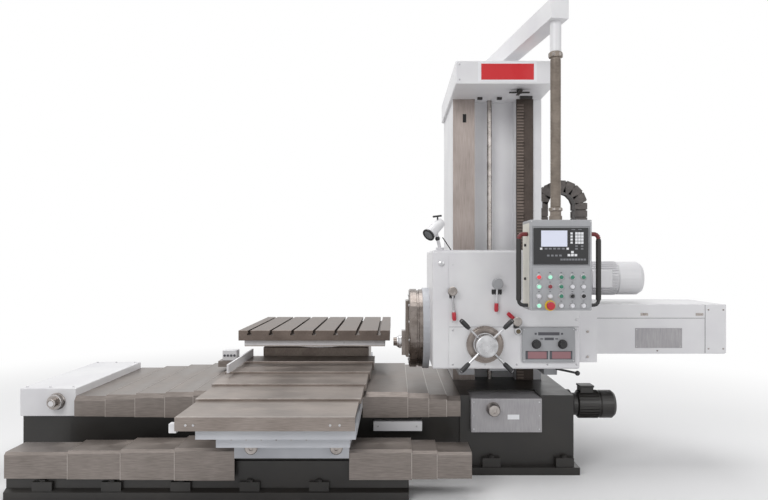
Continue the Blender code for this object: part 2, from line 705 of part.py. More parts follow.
def make_facing_head():
    axis = (SPINDLE_Y, SPINDLE_Z)
    length = RING_LEFT - SEAT - DISC_LEFT
    turned("faceplate", [(0, 0), (DISC_R * 0.97, 0), (DISC_R, 0.008), (DISC_R, length * 0.55),
                         (DISC_R * 0.965, length * 0.58), (DISC_R * 0.965, length * 0.7),
                         (DISC_R * 0.99, length * 0.73), (DISC_R * 0.99, length), (0, length)],
           (DISC_LEFT, *axis), (RING_LEFT, *axis), "ground_iron", 48)
    back = DISC_LEFT - SEAT
    front = back - SLIDE_BLOCK_THICK
    slide = box("facing_slide", (front, back), (SPINDLE_Y - 0.07, SPINDLE_Y + 0.07),
                (SPINDLE_Z - 0.22, SPINDLE_Z + 0.22), "ground_iron", 0.004)
    holder = box("tool_holder", (front - 0.03, front + 0.01),
                 (SPINDLE_Y - 0.055, SPINDLE_Y + 0.055), (TOOL_Z - 0.1, TOOL_Z + 0.09))
    bar = rod("tool_bar", (front - 0.02, SPINDLE_Y, TOOL_Z), (TOOL_TIP, SPINDLE_Y, TOOL_Z),
              TOOL_R, sides=24, end_radius=TOOL_R * 0.8)
    join(slide, holder, bar)


def make_tail():
    block = box("tail_block", (HEAD_X[1] - 0.05, TAIL_BLOCK_RIGHT), (HEAD_FRONT + 0.05, -0.02),
                (0.83, 1.27))
    join(bpy.data.objects["headstock"], block)
    box("tail_housing", (TAIL_BLOCK_RIGHT + SEAT, TAIL_RIGHT), TAIL_Y, TAIL_Z, "white_paint", 0.006)
    start = HEAD_X[1] + SEAT
    turned("speed_motor", [
        (0, 0), (0.145, 0), (0.145, 0.03), (0.10, 0.05), (0.10, 0.12),
        (SPEED_MOTOR_R * 0.93, 0.14), (SPEED_MOTOR_R * 0.93, 0.40), (SPEED_MOTOR_R, 0.41),
        (SPEED_MOTOR_R, SPEED_MOTOR_END - start - 0.03),
        (SPEED_MOTOR_R * 0.85, SPEED_MOTOR_END - start), (0, SPEED_MOTOR_END - start)],
        (start, SPEED_MOTOR_Y, SPEED_MOTOR_Z), (SPEED_MOTOR_END, SPEED_MOTOR_Y, SPEED_MOTOR_Z),
        "white_paint")

    left, right = CHAIN_X
    middle = (left + right) / 2
    outer = (right - left) / 2
    inner = outer - CHAIN_THICK
    crown = CHAIN_TOP - outer
    steps = 10
    angles = [math.pi * i / steps for i in range(steps + 1)]
    over = [(middle + outer * math.cos(a), crown + outer * math.sin(a)) for a in angles]
    under = [(middle + inner * math.cos(a), crown + inner * math.sin(a)) for a in angles]
    foot = TAIL_Z[1] - 0.09
    loop = [(right, foot)] + over + [(left, CHAIN_FOOT), (left + CHAIN_THICK, CHAIN_FOOT)]
    loop += list(reversed(under)) + [(right - CHAIN_THICK, foot)]
    chain = prism("cable_chain", loop, CHAIN_Y[0], CHAIN_Y[1], "Y", "black_plastic")
    join(chain, box("chain_bracket", (right - CHAIN_THICK - 0.03, right + 0.02),
                    (TAIL_Y[1] + SEAT, CHAIN_Y[1] + 0.01), (foot - 0.03, foot + 0.01)))


def make_lamp():
    x, y = LAMP_BASE
    top = HEAD_Z[1] + SEAT
    lamp = rod("work_lamp", (x, y, top), (x, y, top + 0.025), 0.03, "white_paint")
    stem = rod("lamp_stem", (x, y, top + 0.015), (x - 0.035, y - 0.01, top + 0.165), 0.012)
    head = rod("lamp_head", (x + 0.01, y + 0.03, top + 0.21), (x - 0.085, y - 0.055, top + 0.115),
               0.035, sides=20, end_radius=0.045)
    join(lamp, stem, head)


def make_star_handle():
    back = HEAD_FRONT - FLANGE_PROUD - SEAT
    hub = rod("star_handle", (STAR_X, back, STAR_Z), (STAR_X, back - 0.10, STAR_Z), 0.077,
              "bright_steel", sides=32)
    spoke_y = back - 0.06
    for i in range(4):
        angle = math.radians(45 + 90 * i)
        way = Vector((math.cos(angle), 0, math.sin(angle)))
        centre = Vector((STAR_X, spoke_y, STAR_Z))
        lean = Vector((0, -0.02, 0))
        join(hub, rod(f"spoke_{i}", centre + way * 0.05, centre + way * STAR_REACH + lean, 0.008,
                      sides=10),
             rod(f"grip_{i}", centre + way * (STAR_REACH - 0.07) + lean * 0.7,
                 centre + way * STAR_REACH + lean * 1.05, 0.014, sides=12))


def make_lever(name, x, z, reach, lean):
    """A gear lever: a boss on the head's front and a handle that hangs from it."""
    back = HEAD_FRONT - SEAT * 2 - FRONT_COVER_THICK
    boss = rod(name, (x, back, z), (x, back - 0.035, z), 0.032, "grey_paint", sides=20)
    angle = math.radians(lean)
    way = Vector((math.sin(angle), 0, -math.cos(angle)))
    pivot = Vector((x, back - 0.022, z))
    tip = pivot + way * reach
    join(boss, rod(name + "_rod", pivot, tip, 0.007, sides=10),
         rod(name + "_grip", tip - way * 0.06, tip + way * 0.005, 0.012, sides=12))


def make_pendant():
    start = Vector((*ARM_PIVOT, 0))
    end = Vector((*ARM_END, 0))
    along = (end - start).normalized()
    beyond = end + along * 0.07
    behind = start - along * 0.08
    across = Vector((-along.y, along.x, 0)) * ARM_WIDTH / 2
    plan = [tuple(point.xy) for point in (behind - across, beyond - across, beyond + across,
                                          behind + across)]
    arm = prism("pendant_arm", plan, ARM_Z[0], ARM_Z[1], "Z", "white_paint")
    post_foot = COLUMN_TOP + CAP_HEIGHT + SEAT
    join(arm, rod("arm_post", (*ARM_PIVOT, post_foot), (*ARM_PIVOT, ARM_Z[0] + 0.02), 0.055,
                  sides=24))

    bottom = PENDANT_Z[1] + SEAT
    top = ARM_Z[0] - SEAT
    height = top - bottom
    turned("pendant_tube", [
        (0, 0), (0.042, 0), (0.042, 0.03), (0.036, 0.035), (0.036, 0.06), (0.042, 0.065),
        (0.042, 0.085), (0.031, 0.09), (0.031, height - 0.24), (0.044, height - 0.235),
        (0.044, height - 0.205), (TUBE_R, height - 0.2), (TUBE_R, height), (0, height)],
        (*ARM_END, bottom), (*ARM_END, top), "bright_steel", 24)

    case = box("pendant_box", PENDANT_X, PENDANT_Y, PENDANT_Z, "grey_paint", 0.006)
    front = PENDANT_Y[0]
    screen_x = (PENDANT_X[0] + SCREEN_SIDE, PENDANT_X[1] - SCREEN_SIDE)
    screen_z = (PENDANT_Z[1] - SCREEN_DROP - SCREEN_HEIGHT, PENDANT_Z[1] - SCREEN_DROP)
    recess = box("screen_recess", (screen_x[0] - SCREEN_LEDGE, screen_x[1] + SCREEN_LEDGE),
                 (front - 0.05, front + SCREEN_SINK),
                 (screen_z[0] - SCREEN_LEDGE, screen_z[1] + SCREEN_LEDGE))
    cut(case, recess)
    box("screen_panel", screen_x, (front - 0.002, front + SCREEN_SINK - SEAT), screen_z,
        "black_plastic")
    keys_x = (PENDANT_X[0] + KEYS_SIDE, PENDANT_X[1] - KEYS_SIDE)
    keys_z = (PENDANT_Z[0] + KEYS_SIDE, PENDANT_Z[0] + KEYS_SIDE + KEYS_HEIGHT)
    keys = box("button_panel", keys_x, (front - 0.005, front - SEAT), keys_z, "grey_paint")
    first_x = (keys_x[0] + keys_x[1] - (BUTTON_COLUMNS - 1) * BUTTON_PITCH[0]) / 2
    first_z = (keys_z[0] + keys_z[1] + (BUTTON_ROWS - 1) * BUTTON_PITCH[1]) / 2 - LEGEND_ROOM
    buttons = []
    for row in range(BUTTON_ROWS):
        for column in range(BUTTON_COLUMNS):
            stop = (row, column) == STOP_BUTTON
            x = first_x + column * BUTTON_PITCH[0]
            z = first_z - row * BUTTON_PITCH[1]
            buttons.append(rod(f"button_{row}_{column}", (x, front - 0.002, z),
                               (x, front - (0.04 if stop else 0.018), z),
                               STOP_R if stop else BUTTON_R, sides=12))
    join(keys, *buttons)
    for name, side in (("pendant_handle_left", 0), ("pendant_handle_right", 1)):
        out = -1 if side == 0 else 1
        face = PENDANT_X[side] + out * SEAT
        make_handle(name, face, out)


def make_handle(name, face, out):
    """A bent grab handle: a tube that leaves the case, runs down and comes back."""
    curve = bpy.data.curves.new(name, "CURVE")
    curve.dimensions = "3D"
    curve.bevel_depth = HANDLE_R
    curve.bevel_resolution = 2
    curve.use_fill_caps = True
    y = PENDANT_Y[0] + HANDLE_INSET
    stand = HANDLE_STAND
    bend = HANDLE_BEND
    high = PENDANT_Z[1] - HANDLE_DROP
    low = PENDANT_Z[0] + HANDLE_RISE
    route = [(face, high), (face + out * (stand - bend), high)]
    for corner, start in ((high - bend, 90), (low + bend, 0)):
        for i in range(1, 4):
            angle = math.radians(start - 30 * i if start else -30 * i)
            route.append((face + out * (stand - bend + bend * math.cos(angle)),
                          corner + bend * math.sin(angle)))
        if start:
            route.append((face + out * stand, low + bend))
    route.append((face, low))
    line = curve.splines.new("POLY")
    line.points.add(len(route) - 1)
    for point, (x, z) in zip(line.points, route):
        point.co = (x, y, z, 1)
    made = bpy.data.objects.new(name, curve)
    curve.materials.append(PAINT["black_plastic"])
    parts.objects.link(made)


clear_scene()
make_finishes()
make_main_bed()
make_column_base()
make_column()
make_front_bed()
make_bed_covers()
make_saddle()
make_cross_covers()
make_cross_slide()
make_table()
make_headstock()
make_facing_head()
make_tail()
make_lamp()
make_star_handle()
for lever_name, lever_sizes in LEVERS.items():
    make_lever(lever_name, *lever_sizes)
make_pendant()
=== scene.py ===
"""The looks of a table-type horizontal boring mill, dressed over its solids.

Everything is in metres, in the machine's own frame: X along the bed towards
the column, Y away from the operator, Z up.
"""

import math

import bmesh
import bpy
from mathutils import Matrix, Vector


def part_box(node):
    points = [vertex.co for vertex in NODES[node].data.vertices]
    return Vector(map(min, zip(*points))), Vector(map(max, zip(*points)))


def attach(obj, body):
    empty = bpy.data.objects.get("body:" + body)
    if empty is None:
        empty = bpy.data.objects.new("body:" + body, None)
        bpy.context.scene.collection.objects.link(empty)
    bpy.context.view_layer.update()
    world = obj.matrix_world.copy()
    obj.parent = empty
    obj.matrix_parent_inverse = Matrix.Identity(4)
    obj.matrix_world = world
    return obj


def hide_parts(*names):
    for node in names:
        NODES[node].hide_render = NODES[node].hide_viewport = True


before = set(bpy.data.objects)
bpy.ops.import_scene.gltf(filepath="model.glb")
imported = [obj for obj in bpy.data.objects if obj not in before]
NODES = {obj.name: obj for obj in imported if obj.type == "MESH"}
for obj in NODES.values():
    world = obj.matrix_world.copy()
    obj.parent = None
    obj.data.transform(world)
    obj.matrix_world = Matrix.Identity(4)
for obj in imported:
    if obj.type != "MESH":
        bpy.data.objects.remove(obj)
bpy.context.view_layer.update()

# The photograph's camera: eye level, looking along +Y at the machine's front
CAMERA_AT = (0.676, -5.375, 1.569)
PHOTO_WIDTH = 768
PHOTO_HEIGHT = 500
FOCAL_PIXELS = 650
VANISHING_X = 394
VANISHING_Y = 259
SENSOR_WIDTH = 36.0

# The ways that knobs, screws and collars point
FRONT = (0, -1, 0)
LEFT = (-1, 0, 0)
UP = (0, 0, 1)

# A sign's or a label's thickness, and how far a dressing, a key or a printed bar
# reaches into the solid behind it, so that no gap shows from the side
PLATE = 0.0015
SUNK = 0.0005
KEY_SUNK = 0.0003
BAR_SUNK = 0.0002

# Axes that more than one piece turns on, as the solids have them
STAR_X = 1.317
STAR_Z = 0.967
SPINDLE_Y = -0.175
SPINDLE_Z = 1.02
NOSE_Z = 0.909
PENDANT_FRONT = -1.225

SHADES = {}


def linear(code):
    """An sRGB hex colour as the linear RGBA that a shader takes."""
    parts = [int(code[i:i + 2], 16) / 255 for i in (1, 3, 5)]
    return (*[c / 12.92 if c <= 0.04045 else ((c + 0.055) / 1.055) ** 2.4 for c in parts], 1)


def feed(tree, node, **inputs):
    """Gives a node's inputs their values, or links them where a socket is given."""
    for name, value in inputs.items():
        socket = node.inputs[name.replace("_", " ")]
        if isinstance(value, bpy.types.NodeSocket):
            tree.links.new(value, socket)
        else:
            socket.default_value = value


def add_node(tree, kind, settings=None, **inputs):
    """One shader node, with its settings and its inputs."""
    made = tree.nodes.new(kind)
    for name, value in (settings or {}).items():
        setattr(made, name, value)
    feed(tree, made, **inputs)
    return made


def start_material(name, metallic=0.0, coat=0.0):
    """A new material, its Principled shader, and the place on the object in metres."""
    made = bpy.data.materials.new(name)
    made.use_nodes = True
    tree = made.node_tree
    shader = tree.nodes["Principled BSDF"]
    feed(tree, shader, Metallic=metallic, Coat_Weight=coat)
    place = tree.nodes.new("ShaderNodeTexCoord").outputs["Object"]
    SHADES[name] = made
    return tree, shader, place


def sprayed_enamel(name, dark, pale, smooth, rough):
    """Two-pack enamel sprayed on filled castings.

    The eye sees a soft gloss, a faint orange peel and broad clouds in the colour.
    """
    tree, shader, place = start_material(name, coat=0.15)
    # The filler shows through in clouds of about 350 mm, and the gloss drifts over 120 mm
    clouds = add_node(tree, "ShaderNodeTexNoise", Vector=place, Scale=1 / 0.35, Detail=3)
    colour = add_node(tree, "ShaderNodeValToRGB", Fac=clouds.outputs["Fac"])
    for stop, at, code in zip(colour.color_ramp.elements, (0.3, 0.7), (dark, pale)):
        stop.position = at
        stop.color = linear(code)
    drift = add_node(tree, "ShaderNodeTexNoise", Vector=place, Scale=1 / 0.12, Detail=3)
    gloss = add_node(tree, "ShaderNodeMapRange", Value=drift.outputs["Fac"],
                     To_Min=smooth, To_Max=rough)
    # Orange peel is about 2 mm across. It is drawn at 6 mm, because 2 mm wouldn't show.
    peel = add_node(tree, "ShaderNodeTexNoise", Vector=place, Scale=1 / 0.006, Detail=1)
    bump = add_node(tree, "ShaderNodeBump", Height=peel.outputs["Fac"], Distance=0.00025,
                    Strength=0.35)
    feed(tree, shader, Base_Color=colour.outputs["Color"], Roughness=gloss.outputs["Result"],
         Normal=bump.outputs["Normal"])


def brushed_sheet(name, dark, pale, strokes, smooth=0.3, rough=0.48, metallic=0.85):
    """Cold rolled sheet steel, brushed one way.

    The eye sees fine lines along the brushing, and light smeared across them.
    strokes counts them per metre on each axis: 220 across and 14 along is a
    stroke 4.5 mm wide and 70 mm long. 20 on every axis has no direction, and
    gives 50 mm patches.
    """
    tree, shader, place = start_material(name, metallic)
    # A real stroke is under 1 mm wide. It is drawn about 5 mm wide, or it wouldn't show.
    along = add_node(tree, "ShaderNodeMapping", Vector=place, Scale=strokes)
    lines = add_node(tree, "ShaderNodeTexNoise", Vector=along.outputs["Vector"], Scale=1, Detail=4)
    # Oil and handling leave patches of about 220 mm
    clouds = add_node(tree, "ShaderNodeTexNoise", Vector=place, Scale=1 / 0.22, Detail=3)
    both = add_node(tree, "ShaderNodeMix", {"data_type": "FLOAT"}, Factor=0.4,
                    A=lines.outputs["Fac"], B=clouds.outputs["Fac"])
    colour = add_node(tree, "ShaderNodeValToRGB", Fac=both.outputs["Result"])
    for stop, at, code in zip(colour.color_ramp.elements, (0.35, 0.65), (dark, pale)):
        stop.position = at
        stop.color = linear(code)
    gloss = add_node(tree, "ShaderNodeMapRange", Value=clouds.outputs["Fac"],
                     To_Min=smooth, To_Max=rough)
    bump = add_node(tree, "ShaderNodeBump", Height=lines.outputs["Fac"], Distance=0.0002,
                    Strength=0.3)
    feed(tree, shader, Base_Color=colour.outputs["Color"], Roughness=gloss.outputs["Result"],
         Normal=bump.outputs["Normal"], Anisotropic=0.4)


def machined_iron(name, dark, pale, smooth=0.32, rough=0.5):
    """Grey cast iron, planed and ground.

    The eye sees a dull warm sheen with cutter marks and oil-dark patches.
    """
    tree, shader, place = start_material(name, 0.8)
    # A planer's feed marks are 1 to 2 mm apart. They are drawn 4 mm apart to show.
    along = add_node(tree, "ShaderNodeMapping", Vector=place, Scale=(260, 16, 60))
    marks = add_node(tree, "ShaderNodeTexNoise", Vector=along.outputs["Vector"], Scale=1, Detail=3)
    # Oil lies in patches of about 160 mm
    patches = add_node(tree, "ShaderNodeTexNoise", Vector=place, Scale=1 / 0.16, Detail=5)
    both = add_node(tree, "ShaderNodeMix", {"data_type": "FLOAT"}, Factor=0.55,
                    A=marks.outputs["Fac"], B=patches.outputs["Fac"])
    colour = add_node(tree, "ShaderNodeValToRGB", Fac=both.outputs["Result"])
    for stop, at, code in zip(colour.color_ramp.elements, (0.35, 0.65), (dark, pale)):
        stop.position = at
        stop.color = linear(code)
    gloss = add_node(tree, "ShaderNodeMapRange", Value=patches.outputs["Fac"],
                     To_Min=smooth, To_Max=rough)
    bump = add_node(tree, "ShaderNodeBump", Height=marks.outputs["Fac"], Distance=0.00015,
                    Strength=0.4)
    feed(tree, shader, Base_Color=colour.outputs["Color"], Roughness=gloss.outputs["Result"],
         Normal=bump.outputs["Normal"])


def turned_steel(name, dark, pale, pitch, axis):
    """Steel turned on a lathe: rings around its axis that catch the light.

    A tool leaves rings 0.2 to 0.4 mm apart. pitch is what they are drawn at, 3 to
    12 mm, because finer ones wouldn't show.
    """
    tree, shader, place = start_material(name, 1.0)
    # A wave texture of scale 1 repeats every pi / 10
    rings = add_node(tree, "ShaderNodeTexWave", {"bands_direction": axis}, Vector=place,
                     Scale=math.pi / 10 / pitch, Distortion=0.6)
    # Handling dulls it in patches of about 70 mm
    clouds = add_node(tree, "ShaderNodeTexNoise", Vector=place, Scale=1 / 0.07, Detail=3)
    colour = add_node(tree, "ShaderNodeValToRGB", Fac=clouds.outputs["Fac"])
    for stop, at, code in zip(colour.color_ramp.elements, (0.3, 0.7), (dark, pale)):
        stop.position = at
        stop.color = linear(code)
    gloss = add_node(tree, "ShaderNodeMapRange", Value=clouds.outputs["Fac"],
                     To_Min=0.2, To_Max=0.36)
    bump = add_node(tree, "ShaderNodeBump", Height=rings.outputs["Fac"], Distance=0.0004,
                    Strength=0.35)
    feed(tree, shader, Base_Color=colour.outputs["Color"], Roughness=gloss.outputs["Result"],
         Normal=bump.outputs["Normal"])


def moulded(name, colour, rough, coat=0.0):
    """Injection-moulded plastic: even colour with a fine spark-eroded grain."""
    tree, shader, place = start_material(name, coat=coat)
    # Fingers polish it in patches of about 30 mm
    wear = add_node(tree, "ShaderNodeTexNoise", Vector=place, Scale=1 / 0.03, Detail=3)
    gloss = add_node(tree, "ShaderNodeMapRange", Value=wear.outputs["Fac"],
                     To_Min=rough * 0.85, To_Max=rough * 1.15)
    # The grain is about 0.3 mm. It is drawn at 4 mm to show.
    grain = add_node(tree, "ShaderNodeTexNoise", Vector=place, Scale=1 / 0.004, Detail=1)
    bump = add_node(tree, "ShaderNodeBump", Height=grain.outputs["Fac"], Distance=0.0001,
                    Strength=0.3)
    feed(tree, shader, Base_Color=linear(colour), Roughness=gloss.outputs["Result"],
         Normal=bump.outputs["Normal"])


def lit(name, colour, glow, amount):
    """A clear lens or a display, glossy, with a weak light of its own behind it."""
    tree, shader, place = start_material(name, coat=0.5)
    # Fingerprints dull it in patches of about 20 mm
    prints = add_node(tree, "ShaderNodeTexNoise", Vector=place, Scale=1 / 0.02, Detail=3)
    gloss = add_node(tree, "ShaderNodeMapRange", Value=prints.outputs["Fac"],
                     To_Min=0.12, To_Max=0.25)
    feed(tree, shader, Base_Color=linear(colour), Roughness=gloss.outputs["Result"],
         Emission_Color=linear(glow), Emission_Strength=amount)


def make_materials():
    """Every finish on the machine. A pair of colours is the darkest and the palest of its range."""
    sprayed_enamel("white enamel", "#d4d3d6", "#dfdfe0", 0.32, 0.45)
    sprayed_enamel("grey enamel", "#96979a", "#a6a7aa", 0.35, 0.5)
    sprayed_enamel("pale grey enamel", "#afb1b6", "#c0c2c7", 0.35, 0.5)
    sprayed_enamel("black enamel", "#171513", "#24211e", 0.3, 0.5)
    sprayed_enamel("cream enamel", "#d5d2c6", "#dfdcd2", 0.4, 0.55)
    brushed_sheet("cover sheet", "#736c67", "#8d8580", (14, 220, 220))
    brushed_sheet("cross sheet", "#7d746e", "#988f89", (14, 220, 220))
    brushed_sheet("panel sheet", "#929093", "#a8a6a8", (220, 14, 14), 0.35, 0.55, 0.4)
    # A paler, glossier copy of the cover steel: painted highlight along the covers' folded edges,
    # and the table slab's trim
    brushed_sheet("edge trim and painted highlight", "#9c9590", "#b5aea9", (20, 20, 20), 0.25, 0.35, 1.0)
    brushed_sheet("ground way", "#8b817c", "#a29893", (180, 180, 8), 0.3, 0.45)
    machined_iron("table iron", "#5a504a", "#7a6f68")
    machined_iron("slide iron", "#6a615b", "#8a817a")
    # The darkest of the irons, for the rack: partly its own colour, partly painted shade
    machined_iron("rack iron with painted shade", "#3f3834", "#544b46", 0.45, 0.6)
    turned_steel("disc steel", "#6f6762", "#8d8580", 0.008, "X")
    turned_steel("bright steel", "#a8a8aa", "#cfcfd1", 0.003, "Y")
    turned_steel("thread steel", "#857f7b", "#b0aaa6", 0.012, "Z")
    brushed_sheet("hose steel", "#756b62", "#8f857b", (20, 20, 20), 0.45, 0.6, 0.35)
    brushed_sheet("chain links", "#4a4543", "#625c59", (20, 20, 20), 0.45, 0.6, 0.2)
    moulded("black plastic", "#1d1d1f", 0.42)
    moulded("black rubber", "#232120", 0.6)
    moulded("red plastic", "#b3152a", 0.3, 0.3)
    moulded("yellow plastic", "#d9b52a", 0.35)
    moulded("white plastic", "#e4e5e8", 0.4)
    # Dark ink for print, also laid on the covers' seams as painted shade
    moulded("panel ink and seam shade", "#4c4c52", 0.5)
    moulded("key grey", "#77787c", 0.5)
    moulded("deep shadow", "#0b0b0c", 0.8)
    moulded("sign red", "#c4161f", 0.35, 0.2)
    moulded("dark red plastic", "#6a1d1f", 0.4)
    lit("green lens", "#1d6f55", "#1d6f55", 0.1)
    lit("mint lens", "#a9ecd0", "#8ff0c8", 0.25)
    lit("red lens", "#d8303a", "#e03038", 0.35)
    lit("dark red lens", "#7a1220", "#7a1220", 0.1)
    lit("pale lens", "#cfcfd4", "#ffffff", 0.05)
    lit("screen glass", "#c3c7d6", "#dfe4f5", 0.22)
    lit("counter glass", "#8a5f64", "#a0606a", 0.04)
    lit("lamp glass", "#5d6164", "#ffffff", 0.02)
    lit("oil glass", "#5a4a2c", "#5a4a2c", 0.0)


# Shapes that a piece is built from, in its bmesh

def put_box(bm, low, high, turn=None):
    size = [high[i] - low[i] for i in range(3)]
    middle = Vector([(high[i] + low[i]) / 2 for i in range(3)])
    placed = Matrix.Translation(middle) @ (turn or Matrix()) @ Matrix.Diagonal((*size, 1))
    bmesh.ops.create_cube(bm, size=1, matrix=placed)


def aimed(start, way):
    """The placing that stands a shape on start and points its own Z along way."""
    return Matrix.Translation(start) @ Vector(way).to_track_quat("Z", "Y").to_matrix().to_4x4()


def put_rod(bm, start, end, radius, sides=16):
    way = Vector(end) - Vector(start)
    lifted = Matrix.Translation((0, 0, way.length / 2))
    bmesh.ops.create_cone(bm, cap_ends=True, segments=sides, radius1=radius, radius2=radius,
                          depth=way.length, matrix=aimed(start, way) @ lifted)


def put_turned(bm, start, way, profile, sides=32):
    """A closed turned shape: profile lists (radius, distance along way) all the way round."""
    placed = aimed(start, way)
    rings = []
    for k in range(sides):
        angle = 2 * math.pi * k / sides
        rings.append([bm.verts.new(placed @ Vector((r * math.cos(angle), r * math.sin(angle), d)))
                      for r, d in profile])
    count = len(profile)
    for k in range(sides):
        here = rings[k]
        after = rings[(k + 1) % sides]
        for i in range(count):
            j = (i + 1) % count
            if profile[i][0] < 1e-6 and profile[j][0] < 1e-6:
                continue
            bm.faces.new((here[i], after[i], after[j], here[j]))


def put_ball(bm, centre, radius):
    bmesh.ops.create_uvsphere(bm, u_segments=20, v_segments=12, radius=radius,
                              matrix=Matrix.Translation(centre))


def put_fins(bm, centre, reach, count, low, high):
    """Boxes spread evenly around a motor's axis, which lies along X."""
    for k in range(count):
        angle = 2 * math.pi * k / count
        middle = Vector(centre) + Vector((0, math.cos(angle), math.sin(angle))) * reach
        put_box(bm, middle + Vector(low), middle + Vector(high), Matrix.Rotation(angle, 4, "X"))


def put_anchor(bm, x, y, z):
    """Washer, nut and stud. They are kept low, because the front covers slide over them."""
    put_rod(bm, (x, y, z - 0.001), (x, y, z + 0.003), 0.026, 20)
    put_rod(bm, (x, y, z + 0.003), (x, y, z + 0.012), 0.021, 6)
    put_rod(bm, (x, y, z + 0.012), (x, y, z + 0.016), 0.012, 12)


# Named pieces

def piece(name, body, shade, build, bevel=0.0):
    """A named piece of one material that rides on a body. build fills its bmesh."""
    bm = bmesh.new()
    build(bm)
    bmesh.ops.remove_doubles(bm, verts=bm.verts, dist=0.000005)
    bmesh.ops.recalc_face_normals(bm, faces=bm.faces)
    mesh = bpy.data.meshes.new(name)
    bm.to_mesh(mesh)
    bm.free()
    mesh.materials.append(SHADES[shade])
    made = bpy.data.objects.new(name, mesh)
    bpy.context.scene.collection.objects.link(made)
    mesh.shade_smooth()
    mesh.set_sharp_from_angle(angle=math.radians(35))
    if bevel:
        edge = made.modifiers.new("edges", "BEVEL")
        edge.width = bevel
        edge.segments = 2
        edge.limit_method = "ANGLE"
        edge.harden_normals = True
    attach(made, body)
    return made


def plate(name, body, shade, low, high, bevel=0.0008):
    """A small flat cover, label or strip with eased edges."""
    return piece(name, body, shade, lambda bm: put_box(bm, low, high), bevel)


def turned(name, body, shade, start, way, profile, sides=32):
    """A piece that is one turned shape."""
    return piece(name, body, shade,
                 lambda bm: put_turned(bm, start, way, profile, sides))


def cap_screws(name, body, places, facing, radius=0.009, shade="bright steel"):
    """Socket-head screws, each with its recess, that stand on a face and point along facing."""
    height = radius * 0.7
    profile = [(0, -0.001), (radius, -0.001), (radius, height * 0.8), (radius * 0.85, height),
               (radius * 0.5, height), (radius * 0.45, height * 0.4), (0, height * 0.4)]

    def build(bm):
        for place in places:
            put_turned(bm, place, facing, profile, 12)
    return piece(name, body, shade, build)


def grip(name, body, tip, way, length, radius, shade):
    """A moulded grip pushed over the end of a handle. way points out of the handle's tip."""
    profile = [(0, -0.001), (radius * 0.75, 0), (radius, length * 0.2),
               (radius * 1.05, length * 0.8), (radius * 0.8, length * 1.02), (0, length * 1.06)]
    return turned(name, body, shade, tip - way * length, way, profile, 20)


def dress_cad():
    """Gives every CAD node a finish of this scene."""
    covers = [name for name in NODES if name.startswith(("bed_cover", "front_cover"))]
    cross_covers = [name for name in NODES if name.startswith("cross_cover")]
    finishes = {
        "black enamel": ["main_bed", "front_bed", "column_base", "feed_motor"],
        "white enamel": ["bed_end_box", "column", "column_cap", "headstock", "head_cover",
                         "tail_housing", "speed_motor", "work_lamp", "pendant_arm", "table_slab",
                         "side_guard"],
        "pale grey enamel": ["saddle", "saddle_apron", "bearing_ring"],
        "grey enamel": ["control_panel", "pendant_box", "button_panel"],
        "bright steel": ["lever_left", "lever_middle", "lever_right", "rotary_base",
                         "star_handle"],
        "cover sheet": covers + ["switch_shelf"],
        "cross sheet": cross_covers,
        "panel sheet": ["base_panel"],
        "table iron": ["rotary_table"],
        "rack iron with painted shade": ["rack"],
        "slide iron": ["cross_slide"],
        "disc steel": ["faceplate", "facing_slide"],
        "thread steel": ["lead_screw"],
        "hose steel": ["pendant_tube"],
        "black plastic": ["cable_chain", "screen_panel", "pendant_handle_left",
                          "pendant_handle_right"],
    }
    for shade, names in finishes.items():
        for name in names:
            mesh = NODES[name].data
            mesh.materials.clear()
            mesh.materials.append(SHADES[shade])


def lip_bead(node, body, side, chamfer):
    """The folded edge at a bed cover's open end, in paler steel as a painted highlight: side is -1
    or 1 along X.
    """
    low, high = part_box(node)
    x = low.x if side < 0 else high.x
    near, far = sorted((x, x - side * 0.004))
    proud = 0.0012

    def build(bm):
        put_box(bm, (near, low.y + chamfer, high.z - SUNK),
                (far, high.y - chamfer, high.z + proud))
        for y, out in ((low.y, -1), (high.y, 1)):
            a, b = sorted((y - out * SUNK, y + out * proud))
            put_box(bm, (near, a, low.z), (far, b, high.z - chamfer))
    piece(node + "_edge", body, "edge trim and painted highlight", build)


def dress_covers():
    """A lip of paler steel, a painted highlight, on each telescopic cover that moves, and the
    fascia's screws.
    """
    # Each train's bodies from its second cover on. The first stays put and has no lip.
    trains = {
        "bed_cover_left": ("left_cover_1", "left_cover_2", "left_cover_3", "saddle"),
        "bed_cover_right": ("right_cover_1", "right_cover_2", "saddle"),
        "front_cover_left": ("front_left_cover_1", "front_left_cover_2", "saddle"),
        "front_cover_right": ("front_right_cover_1", "saddle"),
    }
    for train, bodies in trains.items():
        side = -1 if "left" in train else 1
        chamfer = 0.018 if train.startswith("front") else 0.03
        for i, body in enumerate(bodies, 1):
            lip_bead(f"{train}_{i}", body, side, chamfer)

    # A strip of paler steel along each cross cover's front fold: painted highlight
    bodies = ("saddle", "cross_cover_1", "cross_cover_2", "cross_cover_3", "cross_slide")
    for i, body in enumerate(bodies):
        low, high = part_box(f"cross_cover_{i}")
        front = low.y if i else low.y + 0.012
        plate(f"cross_fold_{i}", body, "edge trim and painted highlight",
              (low.x + 0.002, front - 0.0008, high.z - 0.006),
              (high.x - 0.002, front + 0.010, high.z + 0.0012), 0.0005)

    low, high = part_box("cross_cover_0")
    places = [(x, low.y, high.z - 0.045)
              for x in (low.x + 0.065, low.x + 0.11, high.x - 0.145, high.x - 0.09)]
    cap_screws("fascia_screws", "saddle", places, FRONT, 0.007)


